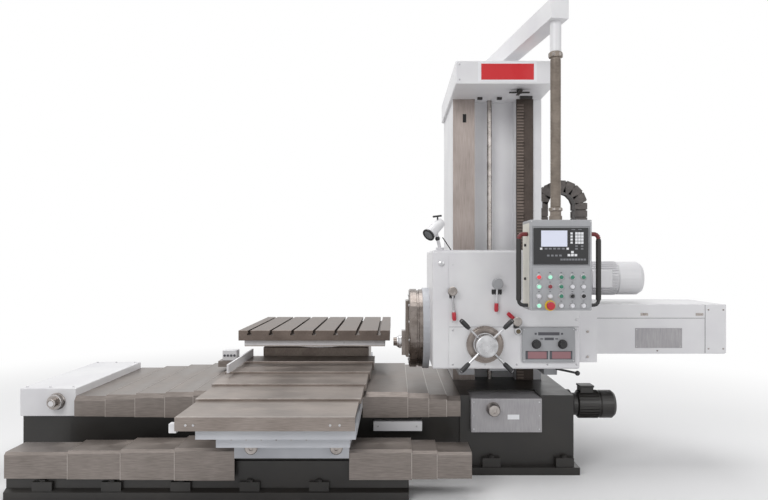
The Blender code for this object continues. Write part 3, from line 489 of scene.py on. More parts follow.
def dress_bed():
    """The beds' knob, trip rail, screws and anchors, and the saddle's small parts."""
    low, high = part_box("bed_end_box")
    knob_profile = [(0, 0), (0.062, 0), (0.062, 0.008), (0.0565, 0.014), (0.0565, 0.045),
                    (0.05, 0.052), (0.0315, 0.052), (0.0315, 0.088), (0.027, 0.091),
                    (0.02, 0.091), (0.018, 0.07), (0, 0.07)]
    turned("end_box_knob", "bed", "thread steel", (-1.786, -0.625, 0.53), FRONT,
           knob_profile)
    places = [(low.x + i * 0.17 + 0.03, y, high.z) for i in range(3) for y in (-0.58, 0.56)]
    cap_screws("end_box_screws", "bed", places, UP, 0.008)

    trip_front = -0.6515

    def trip(bm):
        put_box(bm, (0.527, trip_front, 0.3195), (0.880, -0.6502, 0.3875))
        put_box(bm, (0.527, trip_front, 0.3872), (0.880, -0.585, 0.3885))
    piece("trip_rail_face", "bed", "white enamel", trip)
    cap_screws("trip_rail_screws", "bed", [(0.56, trip_front, 0.353), (0.84, trip_front, 0.353)],
               FRONT, 0.006)

    # One anchor in the middle of each lug: along the main bed, the column base and the front bed
    lug_pitch = 0.45
    lug_half = 0.065
    lug_top = 0.12

    def anchors(bm):
        for side in (-1, 1):
            for i in range(7):
                put_anchor(bm, -2.058 + (i + 0.4) * lug_pitch + lug_half, side * 0.612, lug_top)
        for left in (1.32, 1.855):
            put_anchor(bm, left + lug_half, -0.628, lug_top)
        for i in range(5):
            put_anchor(bm, -1.8567 + (i + 0.4) * lug_pitch + lug_half, -1.139, lug_top)
    piece("anchor_bolts", "bed", "black enamel", anchors)

    low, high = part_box("saddle_apron")
    cap_screws("apron_screws", "saddle", [(-0.30 + i * 0.09, low.y, 0.485) for i in range(6)],
               FRONT, 0.005, "thread steel")
    wheel_profile = [(0, 0), (0.04, 0), (0.041, 0.004), (0.041, 0.02), (0.036, 0.026),
                     (0.014, 0.026), (0.012, 0.02), (0, 0.02)]

    def wheels(bm):
        for x in (-0.233, 0.309):
            put_turned(bm, (x, -1.224, 0.365), FRONT, wheel_profile, 24)
    piece("shoe_knob_caps", "saddle", "thread steel", wheels)
    plate("fascia_stop", "saddle", "white enamel",
          (-0.652, -1.55, 0.543), (-0.606, -1.50, 0.598), 0.003)


def dress_base():
    """The column base's panel with its knob and plain label, and the feed motor's ribs and box."""
    low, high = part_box("base_panel")
    front = -0.66
    knob_profile = [(0, 0), (0.05, 0), (0.05, 0.012), (0.0445, 0.02), (0.0445, 0.058),
                    (0.038, 0.068), (0.018, 0.068), (0.016, 0.061), (0, 0.061)]
    turned("base_panel_knob", "bed", "thread steel", (1.395, front, 0.481), FRONT,
           knob_profile, 28)
    places = [(x, front, z) for x in (low.x + 0.02, high.x - 0.02)
              for z in (low.z + 0.025, (low.z + high.z) / 2, high.z - 0.025)]
    cap_screws("base_panel_screws", "bed", places, FRONT, 0.006)
    plate("base_label", "bed", "white plastic",
          (1.50, front - PLATE, 0.405), (1.585, front + SUNK, 0.44))

    # The feed motor, seen from its side
    y, z = -0.36, 0.4526
    piece("feed_motor_fins", "bed", "black enamel",
          lambda bm: put_fins(bm, (2.165, y, z), 0.101, 24,
                              (-0.075, -0.006, -0.0016), (0.075, 0.006, 0.0016)))

    def terminal(bm):
        put_box(bm, (2.10, y - 0.05, z + 0.09), (2.20, y + 0.05, z + 0.135))
        put_box(bm, (2.095, y - 0.055, z + 0.135), (2.205, y + 0.055, z + 0.15))
    piece("feed_motor_terminal", "bed", "black enamel", terminal, 0.003)


def dress_column():
    """The ground way, the rack's teeth, and the cap with its plain red field."""
    plate("left_way_strip", "bed", "ground way",
          (1.1645, 0.01205, 0.569), (1.3455, 0.0124, 2.8935), 0)
    plate("way_window", "bed", "deep shadow",
          (1.245, 0.0118, 2.70), (1.275, 0.0124, 2.77), 0)
    plate("left_flank_cover", "bed", "white enamel",
          (1.1625, 0.06, 0.62), (1.1645, 0.90, 2.86), 0)
    low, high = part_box("column_cap")
    front = low.y
    plate("cap_sign_back", "bed", "white plastic",
          (1.311, front - PLATE, 2.909), (1.757, front + SUNK, 3.06))
    plate("cap_sign_field", "bed", "sign red",
          (1.335, front - PLATE * 2, 2.924), (1.733, front - PLATE * 0.9, 3.045), 0.0005)

    low_rack, high_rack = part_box("rack")
    pitch = 0.0251

    # Teeth in the paler table iron over the darker rack, whose face shows between them as painted
    # shade
    def teeth(bm):
        for k in range(int((high_rack.z - low_rack.z - 0.02) / pitch)):
            z = low_rack.z + 0.01 + k * pitch
            put_box(bm, (low_rack.x + 0.004, low_rack.y - 0.004, z),
                    (low_rack.x + 0.06, low_rack.y + 0.001, z + pitch * 0.5))
    piece("rack_teeth", "bed", "table iron", teeth)
    places = [(x, front, z) for x in (low.x + 0.03, high.x - 0.03) for z in (2.925, 3.04)]
    cap_screws("cap_screws", "bed", places, FRONT, 0.006)

    # Under the cap: a short post with two crossed bars, and three small blocks
    under = 2.8935

    def brackets(bm):
        put_rod(bm, (1.655, -0.30, under), (1.655, -0.30, 2.862), 0.022, 16)
        put_box(bm, (1.575, -0.312, 2.864), (1.735, -0.288, 2.874))
        put_box(bm, (1.643, -0.38, 2.864), (1.667, -0.22, 2.874))
        put_box(bm, (1.70, -0.10, 2.87), (1.80, -0.07, under))
        put_box(bm, (1.36, -0.06, 2.875), (1.40, -0.03, under))
        put_box(bm, (1.52, -0.06, 2.875), (1.56, -0.03, under))
    piece("cap_brackets", "bed", "black enamel", brackets, 0.002)
    plate("flank_switch", "bed", "white plastic",
          (1.901, 0.12, 2.00), (1.93, 0.18, 2.055), 0.003)


def dress_headstock():
    """The cover's seam and screws, the oil plug and sight glass, and the clamp lever below."""
    low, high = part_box("head_cover")
    front = low.y
    seam_z = 1.088
    # A dark strip along the cover's groove: painted shade in the seam
    plate("cover_seam", "headstock", "panel ink and seam shade",
          (low.x, front - 0.0004, seam_z), (high.x, front + SUNK, seam_z + 0.0022), 0)
    places = [(1.091, 1.529), (1.091, 1.127), (1.091, 1.066), (1.091, 0.8235), (1.32, 0.8235),
              (1.5427, 0.8235), (1.76, 0.8235), (1.965, 0.8235), (1.965, 1.14), (1.965, 1.07),
              (1.54, 1.55), (1.965, 1.55)]
    cap_screws("head_cover_screws", "headstock", [(x, front, z) for x, z in places], FRONT,
               0.0065)

    body_low, body_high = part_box("headstock")
    face = -0.775
    turned("oil_plug", "headstock", "bright steel", (1.0116, face, 1.536), FRONT,
           [(0, -0.001), (0.02, -0.001), (0.02, 0.006), (0.013, 0.010), (0.006, 0.010),
            (0.005, 0.005), (0, 0.005)], 24)
    plate("head_lid", "headstock", "white enamel",
          (body_low.x + 0.02, face + 0.02, 1.6268), (body_high.x - 0.20, -0.02, 1.633), 0.002)
    turned("handle_dish", "headstock", "disc steel", (STAR_X, -0.786, STAR_Z),
           FRONT,
           [(0.082, 0.0178), (0.09, 0.0205), (0.112, 0.0205), (0.118, 0.0178),
            (0.1305, 0.012), (0.1305, 0), (0.1288, 0), (0.1288, 0.0174)], 56)

    glass_x, glass_z = 1.553, 1.058
    turned("sight_glass_ring", "headstock", "bright steel",
           (glass_x, front, glass_z), FRONT,
           [(0.017, 0), (0.027, 0), (0.027, 0.006), (0.023, 0.010), (0.017, 0.010)])
    piece("sight_glass", "headstock", "oil glass",
          lambda bm: put_rod(bm, (glass_x, front + KEY_SUNK, glass_z),
                             (glass_x, front - 0.006, glass_z), 0.0169, 24))

    under = 0.7895
    pivot_x, pivot_y = 1.86, -0.70

    def clamp(bm):
        put_rod(bm, (pivot_x, pivot_y, under), (pivot_x, pivot_y, 0.772), 0.022, 20)
        put_rod(bm, (pivot_x, pivot_y, 0.776), (1.985, -0.72, 0.752), 0.008, 12)
        put_ball(bm, (1.99, -0.72, 0.751), 0.018)
    piece("clamp_lever", "headstock", "black plastic", clamp)

    def gibs(bm):
        put_box(bm, (1.16, -0.50, 0.70), (1.28, -0.02, under))
        put_box(bm, (1.40, -0.45, 0.72), (1.56, -0.02, under))
        put_box(bm, (1.80, -0.50, 0.70), (1.90, -0.02, under))
    piece("head_gibs", "headstock", "grey enamel", gibs, 0.004)
    dress_control_panel()


def dress_control_panel():
    """Two knobs over two counters, and plain bars where the real panel is printed."""
    low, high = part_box("control_panel")
    front = -0.8036
    knob_profile = [(0, 0), (0.033, 0), (0.033, 0.006), (0.0285, 0.010), (0.0275, 0.032),
                    (0.024, 0.036), (0, 0.036)]

    def knobs(bm):
        for x in (1.677, 1.861):
            put_turned(bm, (x, front, 0.97), FRONT, knob_profile)
            put_box(bm, (x - 0.003, front - 0.039, 0.972), (x + 0.003, front - 0.035, 0.996))
    piece("speed_knobs", "headstock", "black plastic", knobs)

    # Two counters side by side, each a window in a frame
    counters = ((1.605, 1.755), (1.775, 1.925))
    foot, head = 0.868, 0.918
    rim = 0.004

    def windows(bm):
        for left, right in counters:
            put_box(bm, (left, front - PLATE, foot), (right, front + KEY_SUNK, head))
    piece("speed_counters", "headstock", "counter glass", windows, 0.0008)

    def frames(bm):
        for left, right in counters:
            bars = ((left - rim, left + 0.012, foot - rim, head + rim),
                    (right - 0.006, right + rim, foot - rim, head + rim),
                    (left, right, head, head + rim), (left, right, foot - rim, foot))
            for a, b, c, d in bars:
                put_box(bm, (a, front - PLATE * 1.4, c), (b, front + BAR_SUNK, d))
    piece("counter_frames", "headstock", "panel ink and seam shade", frames)

    # The bars' left, right, foot and head
    bars = ((1.69, 1.84, 1.032, 1.054), (1.665, 1.68, 1.036, 1.05), (1.85, 1.865, 1.036, 1.05),
            (1.735, 1.80, 0.998, 1.016), (1.705, 1.725, 1.003, 1.011), (1.81, 1.83, 1.003, 1.011))

    def prints(bm):
        for a, b, c, d in bars:
            put_box(bm, (a, front - 0.001, c), (b, front + BAR_SUNK, d))
    piece("panel_bars", "headstock", "panel ink and seam shade", prints, 0.0004)
    places = [(x, front, z) for x in (low.x + 0.012, high.x - 0.012)
              for z in (low.z + 0.012, high.z - 0.012)]
    cap_screws("control_panel_screws", "headstock", places, FRONT, 0.0045)


def dress_handles():
    """The gear levers, and the star handle's hub face and four grips."""
    dress_levers()

    hub_front = -0.9033
    centre = Vector((STAR_X, hub_front + 0.04, STAR_Z))
    lean = Vector((0, -0.02, 0))
    for i in range(4):
        angle = math.radians(45 + 90 * i)
        way = Vector((math.cos(angle), 0, math.sin(angle)))
        outer = centre + way * 0.25 + lean
        inner = centre + way * 0.05
        along = (outer - inner).normalized()
        grip(f"star_grip_{i}", "feed_handle", outer + along * 0.004, along, 0.085, 0.0165,
             "black plastic")
    turned("star_hub_face", "feed_handle", "bright steel",
           (STAR_X, hub_front + 0.001, STAR_Z), FRONT,
           [(0, 0), (0.074, 0), (0.074, 0.003), (0.070, 0.006), (0.01, 0.006),
            (0.008, 0.003), (0, 0.003)], 48)


def dress_levers():
    """The three gear levers: a red grip and a dial each, and an index plate behind."""
    back = -0.7856
    # x, z, reach, lean in degrees, dial radius, its finish, index drop, index half width
    levers = {
        "gear_lever_left": (1.086, 1.3425, 0.20, 4, 0.0335, "thread steel", 0.045, 0.02),
        "gear_lever_middle": (1.401, 1.396, 0.19, -2, 0.04, "grey enamel", 0.072, 0.036),
        "gear_lever_right": (1.539, 1.13, 0.08, -132, 0.0335, "thread steel", 0.045, 0.02),
    }
    for body, (x, z, reach, lean, radius, shade, drop, half) in levers.items():
        angle = math.radians(lean)
        way = Vector((math.sin(angle), 0, -math.cos(angle)))
        tip = Vector((x, back - 0.022, z)) + way * (reach + 0.006)
        grip(body + "_grip", body, tip, way, 0.062, 0.0145, "red plastic")
        turned(body + "_dial", body, shade, (x, back - 0.036, z), FRONT,
               [(0, -0.002), (radius * 0.8, -0.002), (radius, 0.004), (radius, 0.012),
                (radius * 0.85, 0.017), (0, 0.019)])
        foot = z - drop

        def index(bm):
            put_box(bm, (x - half, back - 0.0025, foot), (x + half, back + KEY_SUNK, foot + 0.03))
            for k in range(4):
                left = x - half + (k + 0.15) * half / 2
                put_box(bm, (left, back - 0.0055, foot - 0.006),
                        (left + half * 0.32, back + KEY_SUNK, foot + 0.01))
        piece(body + "_index", "headstock", "black plastic", index)


def dress_facing_head():
    """The disc's rim screws, the gibs of its slide, and the collar on the tool nose."""
    face = 0.7936
    bolt_circle = 0.27
    screw_profile = [(0, -0.001), (0.010, -0.001), (0.010, 0.005), (0.005, 0.006),
                     (0.0045, 0.002), (0, 0.002)]

    def rim_screws(bm):
        for k in range(12):
            angle = 2 * math.pi * (k + 0.5) / 12
            y = SPINDLE_Y + bolt_circle * math.cos(angle)
            z = SPINDLE_Z + bolt_circle * math.sin(angle)
            put_turned(bm, (face, y, z), LEFT, screw_profile, 12)
    piece("faceplate_screws", "facing_head", "bright steel", rim_screws)

    def gibs(bm):
        for side in (-1, 1):
            near, far = sorted((SPINDLE_Y + side * 0.072, SPINDLE_Y + side * 0.10))
            put_box(bm, (face - 0.022, near, 0.80), (face - 0.0004, far, 1.24))
    piece("faceplate_gibs", "facing_head", "slide iron", gibs, 0.002)
    turned("tool_collar", "facing_head", "bright steel",
           (0.735, SPINDLE_Y, NOSE_Z), LEFT,
           [(0, 0), (0.052, 0), (0.052, 0.02), (0.047, 0.024), (0.043, 0.03),
            (0.043, 0.034), (0.0405, 0.036), (0.0405, 0), (0, 0)])


def dress_tail():
    """The tail housing's lid, end cover, latches and bare plate, and the speed motor's ribs."""
    front = -0.525
    back = 0.104
    seam = 1.129
    end = 2.998
    plate("tail_lid", "headstock", "white enamel",
          (2.130, front - 0.004, seam), (end - 0.003, back, 1.231), 0.003)
    plate("tail_end_cover", "headstock", "white enamel",
          (end, front - 0.004, 0.866), (3.153, back, 1.229), 0.003)
    # Dark strips under the lid's edge and at the end cover's joint: painted shadow of the proud lid
    # and end cover
    plate("tail_seam", "headstock", "panel ink and seam shade",
          (2.130, front - 0.0006, seam - 0.003), (end, front + SUNK, seam), 0)
    plate("tail_end_seam", "headstock", "panel ink and seam shade",
          (end - 0.003, front - 0.001, 0.866), (end, front + SUNK, 1.2262), 0)

    def latches(bm):
        for x in (2.514, 2.925):
            put_box(bm, (x, front - 0.0065, 1.146), (x + 0.056, front - 0.0038, 1.166))
            put_rod(bm, (x + 0.028, front - 0.0064, 1.156), (x + 0.028, front - 0.010, 1.156),
                    0.006, 12)
    piece("tail_latches", "headstock", "thread steel", latches, 0.0006)
    plate("tail_plate", "headstock", "panel sheet",
          (2.474, front - PLATE, 0.905), (2.825, front + SUNK, 1.054))
    places = [(x, front - PLATE, z) for x in (2.486, 2.813) for z in (0.917, 1.042)]
    cap_screws("tail_plate_screws", "headstock", places, FRONT, 0.004)
    places = [(x, front - 0.004, z) for x in (3.02, 3.13) for z in (0.90, 1.19)]
    places += [(x, front, 0.885) for x in (2.17, 2.64)]
    cap_screws("tail_screws", "headstock", places, FRONT, 0.006, "thread steel")

    # The speed motor, seen from its side
    y, z = -0.30, 1.42
    piece("speed_motor_fins", "headstock", "white enamel",
          lambda bm: put_fins(bm, (2.263, y, z), 0.123, 36,
                              (-0.128, -0.008, -0.0017), (0.128, 0.008, 0.0017)))

    def terminal(bm):
        put_box(bm, (2.17, y - 0.185, z - 0.06), (2.31, y - 0.11, z + 0.06))
        put_box(bm, (2.165, y - 0.20, z - 0.065), (2.315, y - 0.185, z + 0.065))
    piece("speed_motor_terminal", "headstock", "white enamel", terminal, 0.004)
    piece("motor_vents", "headstock", "deep shadow",
          lambda bm: put_fins(bm, (2.5902, y, z), 0.06, 16,
                              (-0.0008, -0.032, -0.004), (0.0004, 0.032, 0.004)))

    def block_bolts(bm):
        for height in (0.87, 1.05, 1.23):
            put_rod(bm, (2.06, -0.7255, height), (2.06, -0.733, height), 0.009, 6)
    piece("tail_block_bolts", "headstock", "thread steel", block_bolts)
    dress_chain()


def dress_chain():
    """The cable chain's links along one upright loop, in place of its plain solid."""
    left, right = 1.94, 2.40
    thick = 0.11
    pitch = 0.062
    centre = (left + right) / 2
    radius = (right - left) / 2 - thick / 2
    crown = 2.27 - (right - left) / 2
    foot = 1.226 - 0.09
    loose_end = 1.5
    # x, z and turn of each link: up the right side, over the crown, down the left side
    path = []
    z = foot + pitch / 2
    while z < crown - pitch / 2:
        path.append((right - thick / 2, z, 0.0))
        z += pitch
    count = int(math.pi * radius / pitch)
    for i in range(count + 1):
        angle = math.pi * i / count
        path.append((centre + radius * math.cos(angle), crown + radius * math.sin(angle), -angle))
    z = crown - pitch
    while z > loose_end + pitch / 2:
        path.append((left + thick / 2, z, 0.0))
        z -= pitch

    def links(bm):
        for x, z, angle in path:
            turn = Matrix.Rotation(angle, 4, "Y")
            # On the bend the outer edges spread, so a link is longer there to close the gaps
            half = pitch * (0.6 if angle else 0.46)
            for near, far in ((0.42, 0.432), (0.568, 0.58)):
                put_box(bm, (x - thick / 2, near, z - half), (x + thick / 2, far, z + half), turn)
            put_box(bm, (x - thick * 0.44, 0.43, z - half * 1.15),
                    (x + thick * 0.44, 0.57, z + half * 1.15), turn)
    made = piece("chain_links", "headstock", "chain links", links, 0.0015)
    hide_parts("cable_chain")


def dress_table():
    """The table's centre plug, its slab's bright edge, and the switch box on the cross slide."""
    turned("table_plug", "table", "thread steel", (0.0915, 0.77, 0.964), UP,
           [(0, -0.0004), (0.012, -0.0004), (0.012, 0.0006), (0, 0.0006)], 24)
    low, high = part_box("table_slab")
    plate("slab_edge", "table", "edge trim and painted highlight",
          (low.x + 0.004, low.y - 0.002, low.z + 0.001),
          (high.x - 0.004, low.y + SUNK, low.z + 0.010), 0.0005)
    places = [(x, low.y, 0.855) for x in (-0.5, -0.25, 0, 0.25, 0.5)]
    cap_screws("slab_screws", "table", places, FRONT, 0.006)

    low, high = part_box("switch_shelf")
    left = low.x + 0.03
    right = high.x - 0.0097
    front = 0.199
    plate("switch_box_shell", "cross_slide", "white enamel",
          (left - 0.001, front, 0.6985), (right + 0.001, 0.301, 0.784), 0.003)
    stud_profile = [(0, 0), (0.010, 0), (0.010, 0.006), (0.008, 0.009), (0, 0.009)]

    def studs(bm):
        for i in range(4):
            put_turned(bm, (left + 0.018 + i * 0.028, front, 0.742), FRONT, stud_profile, 16)
    piece("switch_box_buttons", "cross_slide", "panel ink and seam shade", studs)


def dress_lamp():
    """The bezel, lens and stand of the work lamp, which shines down to the left."""
    x, y = 1.01, -0.65
    top = 1.6273
    inner = Vector((x + 0.01, y + 0.03, top + 0.21))
    outer = Vector((x - 0.085, y - 0.055, top + 0.115))
    way = (outer - inner).normalized()
    turned("lamp_bezel", "headstock", "black plastic", outer - way * 0.006, way,
           [(0.036, 0), (0.0475, 0), (0.0485, 0.004), (0.0475, 0.012), (0.036, 0.012)])
    turned("lamp_lens", "headstock", "lamp glass", outer - way * 0.001, way,
           [(0, 0), (0.0362, 0), (0.0362, 0.004), (0.02, 0.008), (0, 0.009)])
    up = Vector(UP)
    back = inner + way * 0.045 + up * 0.036
    rail = back + up * 0.03

    def bracket(bm):
        put_rod(bm, back - up * 0.004, rail, 0.006, 10)
        put_rod(bm, rail - Vector((0.035, 0, 0)), rail + Vector((0.03, 0, 0.008)), 0.007, 10)
        put_ball(bm, (x - 0.018, y - 0.005, top + 0.09), 0.018)
    piece("lamp_bracket", "headstock", "black plastic", bracket)
    piece("lamp_lead_pipe", "headstock", "black rubber",
          lambda bm: put_rod(bm, (x + 0.02, y + 0.02, top + 0.1),
                             (x + 0.09, y + 0.04, top - 0.001), 0.004, 8))


def put_key(bm, face, proud, x, z, wide, high):
    """A key that stands proud of the screen panel: wide and high are half its sides."""
    put_box(bm, (x - wide, face - proud, z - high), (x + wide, face + KEY_SUNK, z + high))


def dress_screen():
    """The display and its keys, each set from the screen panel's top left corner."""
    low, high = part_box("screen_panel")
    face, left, top = low.y, low.x, high.z
    plate("screen_glass", "pendant", "screen glass",
          (left + 0.047, face - PLATE, top - 0.12), (left + 0.214, face + 0.0004, top - 0.017))

    def white_keys(bm):
        for row in range(4):
            z = top - 0.036 - row * 0.0195
            put_key(bm, face, 0.003, left + 0.241, z, 0.007, 0.0065)
            for column in range(3):
                put_key(bm, face, 0.003, left + 0.272 + column * 0.0185, z, 0.0078, 0.008)
        for x in (0.0467, 0.216):
            put_key(bm, face, 0.003, left + x, top - 0.133, 0.0075, 0.0065)
        for dx, dz in ((0, 0.019), (-0.022, 0), (0, 0), (0.022, 0)):
            put_key(bm, face, 0.003, left + 0.246 + dx, top - 0.1745 + dz, 0.0085, 0.0075)
    piece("white_keys", "pendant", "white plastic", white_keys, 0.0006)

    # How many keys in a row, the first one's place, their pitch, and half their sides
    rows = ((5, 0.078, 0.133, 0.0272, 0.009, 0.0055), (4, 0.092, 0.177, 0.026, 0.008, 0.006),
            (9, 0.177, 0.2025, 0.0185, 0.0075, 0.006), (2, 0.272, 0.1165, 0.036, 0.008, 0.005),
            (2, 0.272, 0.134, 0.036, 0.008, 0.005), (2, 0.252, 0.0115, 0.042, 0.012, 0.0022))

    def dark_keys(bm):
        for count, x, drop, pitch, wide, tall in rows:
            for i in range(count):
                put_key(bm, face, 0.0025, left + x + i * pitch, top - drop, wide, tall)
    piece("dark_keys", "pendant", "key grey", dark_keys, 0.0004)


def dress_pendant():
    """The pendant's panels, locks and screws, and its two grab handles."""
    front = PENDANT_FRONT
    dress_screen()
    dress_buttons()
    low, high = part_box("pendant_box")
    places = [(x, front, z) for x in (low.x + 0.010, high.x - 0.010)
              for z in (low.z + 0.010, high.z - 0.012, 1.55)]
    cap_screws("pendant_screws", "pendant", places, FRONT, 0.004)
    plate("pendant_side", "pendant", "cream enamel",
          (low.x - 0.0012, -1.205, 1.26), (low.x + 0.0004, -1.0, 1.80), 0)
    plate("pendant_right_side", "pendant", "cream enamel",
          (high.x - 0.0004, -1.205, 1.26), (high.x + 0.0012, -1.0, 1.80), 0)

    def locks(bm):
        for z in (1.44, 1.66):
            put_rod(bm, (low.x - 0.001, -1.10, z), (low.x - 0.012, -1.10, z), 0.009, 16)
    piece("pendant_locks", "pendant", "black plastic", locks)

    handle_y = front + 0.06
    handle_top = 1.73
    bend = 0.03

    def red_tops(bm):
        for face_x, out in ((low.x - KEY_SUNK, -1), (high.x + KEY_SUNK, 1)):
            corner = Vector((face_x + out * bend, handle_y, handle_top - bend))
            last = Vector((face_x + out * 0.006, handle_y, handle_top))
            for i in range(5):
                angle = math.radians(90 - 22.5 * i)
                point = corner + Vector((out * math.cos(angle), 0, math.sin(angle))) * bend
                put_rod(bm, last, point, 0.0138, 14)
                last = point
    piece("red_handle_tops", "pendant", "dark red plastic", red_tops)
    sleeve_profile = [(0.0122, 0), (0.0155, 0.002), (0.017, 0.012), (0.017, 0.385),
                      (0.0155, 0.396), (0.0122, 0.398)]

    def sleeves(bm):
        for x in (low.x - 0.0603, high.x + 0.0603):
            put_turned(bm, (x, handle_y, 1.30), UP, sleeve_profile, 20)
    piece("handle_sleeves", "pendant", "black rubber", sleeves)


def dress_buttons():
    """Lenses and bezels over the twenty buttons of the key panel, and the stop button."""
    front = PENDANT_FRONT
    low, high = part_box("button_panel")
    columns, rows = 5, 4
    pitch_x, pitch_z = 0.071, 0.0605
    legend_room = 0.02
    first_x = (low.x + high.x) / 2 - (columns - 1) * pitch_x / 2
    first_z = (low.z + high.z) / 2 + (rows - 1) * pitch_z / 2 - legend_room
    lenses = [["red lens", "mint lens", "green lens", "green lens", "green lens"],
              ["mint lens", "dark red lens", "green lens", "pale lens", "pale lens"],
              ["pale lens", "pale lens", "green lens", "black plastic", "black plastic"],
              ["mint lens", None, "pale lens", "pale lens", "pale lens"]]
    places = [(row, column, first_x + column * pitch_x, first_z - row * pitch_z)
              for row in range(rows) for column in range(columns)]
    spots = {}
    for row, column, x, z in places:
        shade = lenses[row][column]
        if shade:
            spots.setdefault(shade, []).append((x, z))
    bezel_profile = [(0.0122, 0), (0.0185, 0), (0.0185, 0.004), (0.016, 0.007), (0.0122, 0.007)]
    cap_profile = [(0, 0), (0.0132, 0), (0.0132, 0.011), (0.010, 0.0145), (0, 0.0155)]

    def bezels(bm):
        for spot in spots.values():
            for x, z in spot:
                put_turned(bm, (x, front - 0.005, z), FRONT, bezel_profile, 24)
    piece("button_bezels", "pendant", "bright steel", bezels)

    for shade, spot in spots.items():
        def caps(bm):
            for x, z in spot:
                put_turned(bm, (x, front - 0.006, z), FRONT, cap_profile, 24)
                # The black ones are selector switches, each with a bar to turn it by
                if shade == "black plastic":
                    put_box(bm, (x - 0.003, front - 0.028, z - 0.012),
                            (x + 0.003, front - 0.02, z + 0.012), Matrix.Rotation(0.5, 4, "Y"))
        piece("buttons_" + shade.replace(" ", "_"), "pendant", shade, caps)

    stop_x = first_x + pitch_x
    stop_z = first_z - 3 * pitch_z
    turned("stop_collar", "pendant", "yellow plastic",
           (stop_x, front - 0.005, stop_z), FRONT,
           [(0.0245, 0), (0.034, 0), (0.034, 0.006), (0.031, 0.009), (0.0245, 0.009)])
    turned("stop_button", "pendant", "red plastic",
           (stop_x, front - 0.016, stop_z), FRONT,
           [(0, 0), (0.0245, 0), (0.0265, 0.008), (0.0265, 0.020), (0.022, 0.027), (0, 0.030)])

    def marks(bm):
        for row, column, x, z in places:
            foot = z + 0.029 - 0.0018
            put_box(bm, (x - 0.006, front - 0.0056, foot),
                    (x + 0.006, front - 0.0048, foot + 0.0036))
    piece("button_marks", "pendant", "panel ink and seam shade", marks)


def dress_tube():
    """A ribbed metal hose over the pipe between the arm and the pendant, and its nuts."""
    x, y = 1.740, -1.095
    case_top = 1.8203
    arm_foot = 3.1297
    bottom, top = case_top + 0.092, arm_foot - 0.242
    pitch = 0.0095
    inside, valley, crest = 0.0302, 0.0318, 0.0345
    count = int((top - bottom) / pitch)
    profile = [(inside, 0)]
    for i in range(count):
        start = i * pitch
        profile += [(valley, start + 0.0008), (crest, start + 0.0025),
                    (crest, start + 0.0065), (valley, start + 0.0085)]
    profile.append((inside, count * pitch))
    turned("conduit", "arm", "hose steel", (x, y, bottom), UP, profile, 20)
    turned("tube_sleeve", "arm", "white enamel", (x, y, arm_foot - 0.199), UP,
           [(0.0355, 0), (0.0368, 0), (0.0368, 0.1985), (0.0355, 0.1985)], 28)

    def nuts(bm):
        put_turned(bm, (x, y, case_top + 0.066), UP,
                   [(0.0415, 0), (0.0465, 0.002), (0.0465, 0.016), (0.0415, 0.018)], 6)
        put_turned(bm, (x, y, arm_foot - 0.235), UP,
                   [(0.0435, 0), (0.0485, 0.002), (0.0485, 0.026), (0.0435, 0.028)], 6)
    piece("conduit_nuts", "arm", "thread steel", nuts)


def seen_directly(tree):
    """1 for camera, mirror and glass rays, so they all see the white background."""
    path = tree.nodes.new("ShaderNodeLightPath")
    first = add_node(tree, "ShaderNodeMath", {"operation": "MAXIMUM"})
    tree.links.new(path.outputs["Is Camera Ray"], first.inputs[0])
    tree.links.new(path.outputs["Is Glossy Ray"], first.inputs[1])
    both = add_node(tree, "ShaderNodeMath", {"operation": "MAXIMUM"})
    tree.links.new(first.outputs["Value"], both.inputs[0])
    tree.links.new(path.outputs["Is Transmission Ray"], both.inputs[1])
    return both.outputs["Value"]


def make_stage():
    """A white floor. It takes the machine's shadow near it and fades to plain white."""
    bm = bmesh.new()
    put_box(bm, (-60, -60, -0.05), (60, 60, -0.0005))
    mesh = bpy.data.meshes.new("floor")
    bm.to_mesh(mesh)
    bm.free()
    floor = bpy.data.objects.new("floor", mesh)
    bpy.context.scene.collection.objects.link(floor)
    made = bpy.data.materials.new("floor")
    made.use_nodes = True
    tree = made.node_tree
    shader = tree.nodes["Principled BSDF"]
    feed(tree, shader, Base_Color=linear("#f4f4f4"), Roughness=0.9)
    place = tree.nodes.new("ShaderNodeTexCoord").outputs["Object"]
    reach = add_node(tree, "ShaderNodeVectorMath", {"operation": "LENGTH"}, Vector=place)
    fade = add_node(tree, "ShaderNodeMapRange", {"interpolation_type": "SMOOTHSTEP"},
                    Value=reach.outputs["Value"], From_Min=2.5, From_Max=7.0)
    share = add_node(tree, "ShaderNodeMath", {"operation": "MULTIPLY"})
    tree.links.new(fade.outputs["Result"], share.inputs[0])
    tree.links.new(seen_directly(tree), share.inputs[1])
    white = add_node(tree, "ShaderNodeEmission", Color=(1, 1, 1, 1), Strength=1.0)
    mix = add_node(tree, "ShaderNodeMixShader", Fac=share.outputs["Value"])
    tree.links.new(shader.outputs["BSDF"], mix.inputs[1])
    tree.links.new(white.outputs["Emission"], mix.inputs[2])
    tree.links.new(mix.outputs["Shader"], tree.nodes["Material Output"].inputs["Surface"])
    mesh.materials.append(made)


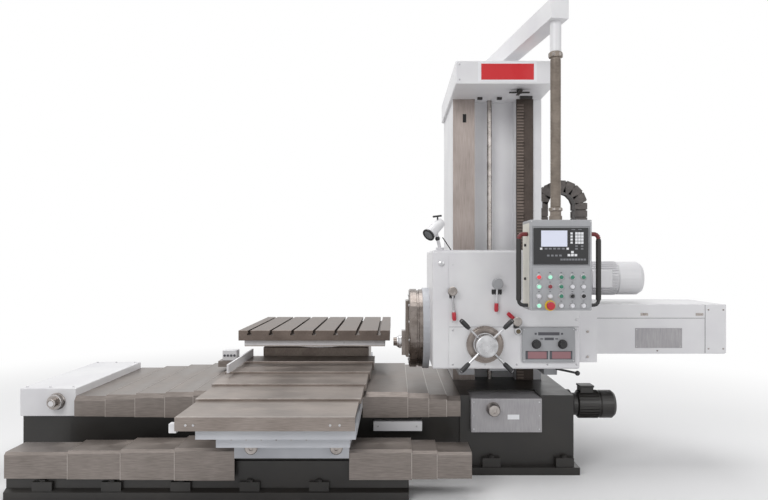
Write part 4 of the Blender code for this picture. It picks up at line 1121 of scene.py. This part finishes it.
def area_light(name, place, target, size, power):
    data = bpy.data.lights.new(name, "AREA")
    data.shape = "RECTANGLE"
    data.size = size[0]
    data.size_y = size[1]
    data.energy = power
    lamp = bpy.data.objects.new(name, data)
    lamp.location = place
    lamp.rotation_euler = (Vector(target) - Vector(place)).to_track_quat("-Z", "Y").to_euler()
    bpy.context.scene.collection.objects.link(lamp)


def light_the_studio():
    world = bpy.data.worlds.new("studio")
    bpy.context.scene.world = world
    world.use_nodes = True
    tree = world.node_tree
    tree.nodes.clear()
    soft = add_node(tree, "ShaderNodeBackground", Color=linear("#ececee"), Strength=0.5)
    white = add_node(tree, "ShaderNodeBackground", Color=(1, 1, 1, 1), Strength=1.0)
    mix = add_node(tree, "ShaderNodeMixShader", Fac=seen_directly(tree))
    tree.links.new(soft.outputs["Background"], mix.inputs[1])
    tree.links.new(white.outputs["Background"], mix.inputs[2])
    add_node(tree, "ShaderNodeOutputWorld", Surface=mix.outputs["Shader"])

    area_light("key", (-3.0, -6.5, 5.5), (0.4, 0, 0.9), (4, 3), 215)
    area_light("fill", (5.5, -6.0, 3.5), (0.8, 0, 1.2), (4, 4), 85)
    area_light("top", (0.5, 1.0, 6.5), (0.5, 0.2, 0), (6, 5), 270)


def set_camera():
    data = bpy.data.cameras.new("camera")
    data.sensor_width = SENSOR_WIDTH
    data.lens = FOCAL_PIXELS / PHOTO_WIDTH * SENSOR_WIDTH
    data.shift_x = (PHOTO_WIDTH / 2 - VANISHING_X) / PHOTO_WIDTH
    data.shift_y = (VANISHING_Y - PHOTO_HEIGHT / 2) / PHOTO_WIDTH
    camera = bpy.data.objects.new("camera", data)
    camera.location = CAMERA_AT
    camera.rotation_euler = (math.radians(90), 0, 0)
    bpy.context.scene.collection.objects.link(camera)
    bpy.context.scene.camera = camera
    bpy.context.scene.view_settings.view_transform = "Standard"


make_materials()
light_the_studio()
set_camera()
make_stage()
dress_cad()
dress_covers()
dress_bed()
dress_base()
dress_column()
dress_headstock()
dress_handles()
dress_facing_head()
dress_tail()
dress_table()
dress_lamp()
dress_pendant()
dress_tube()
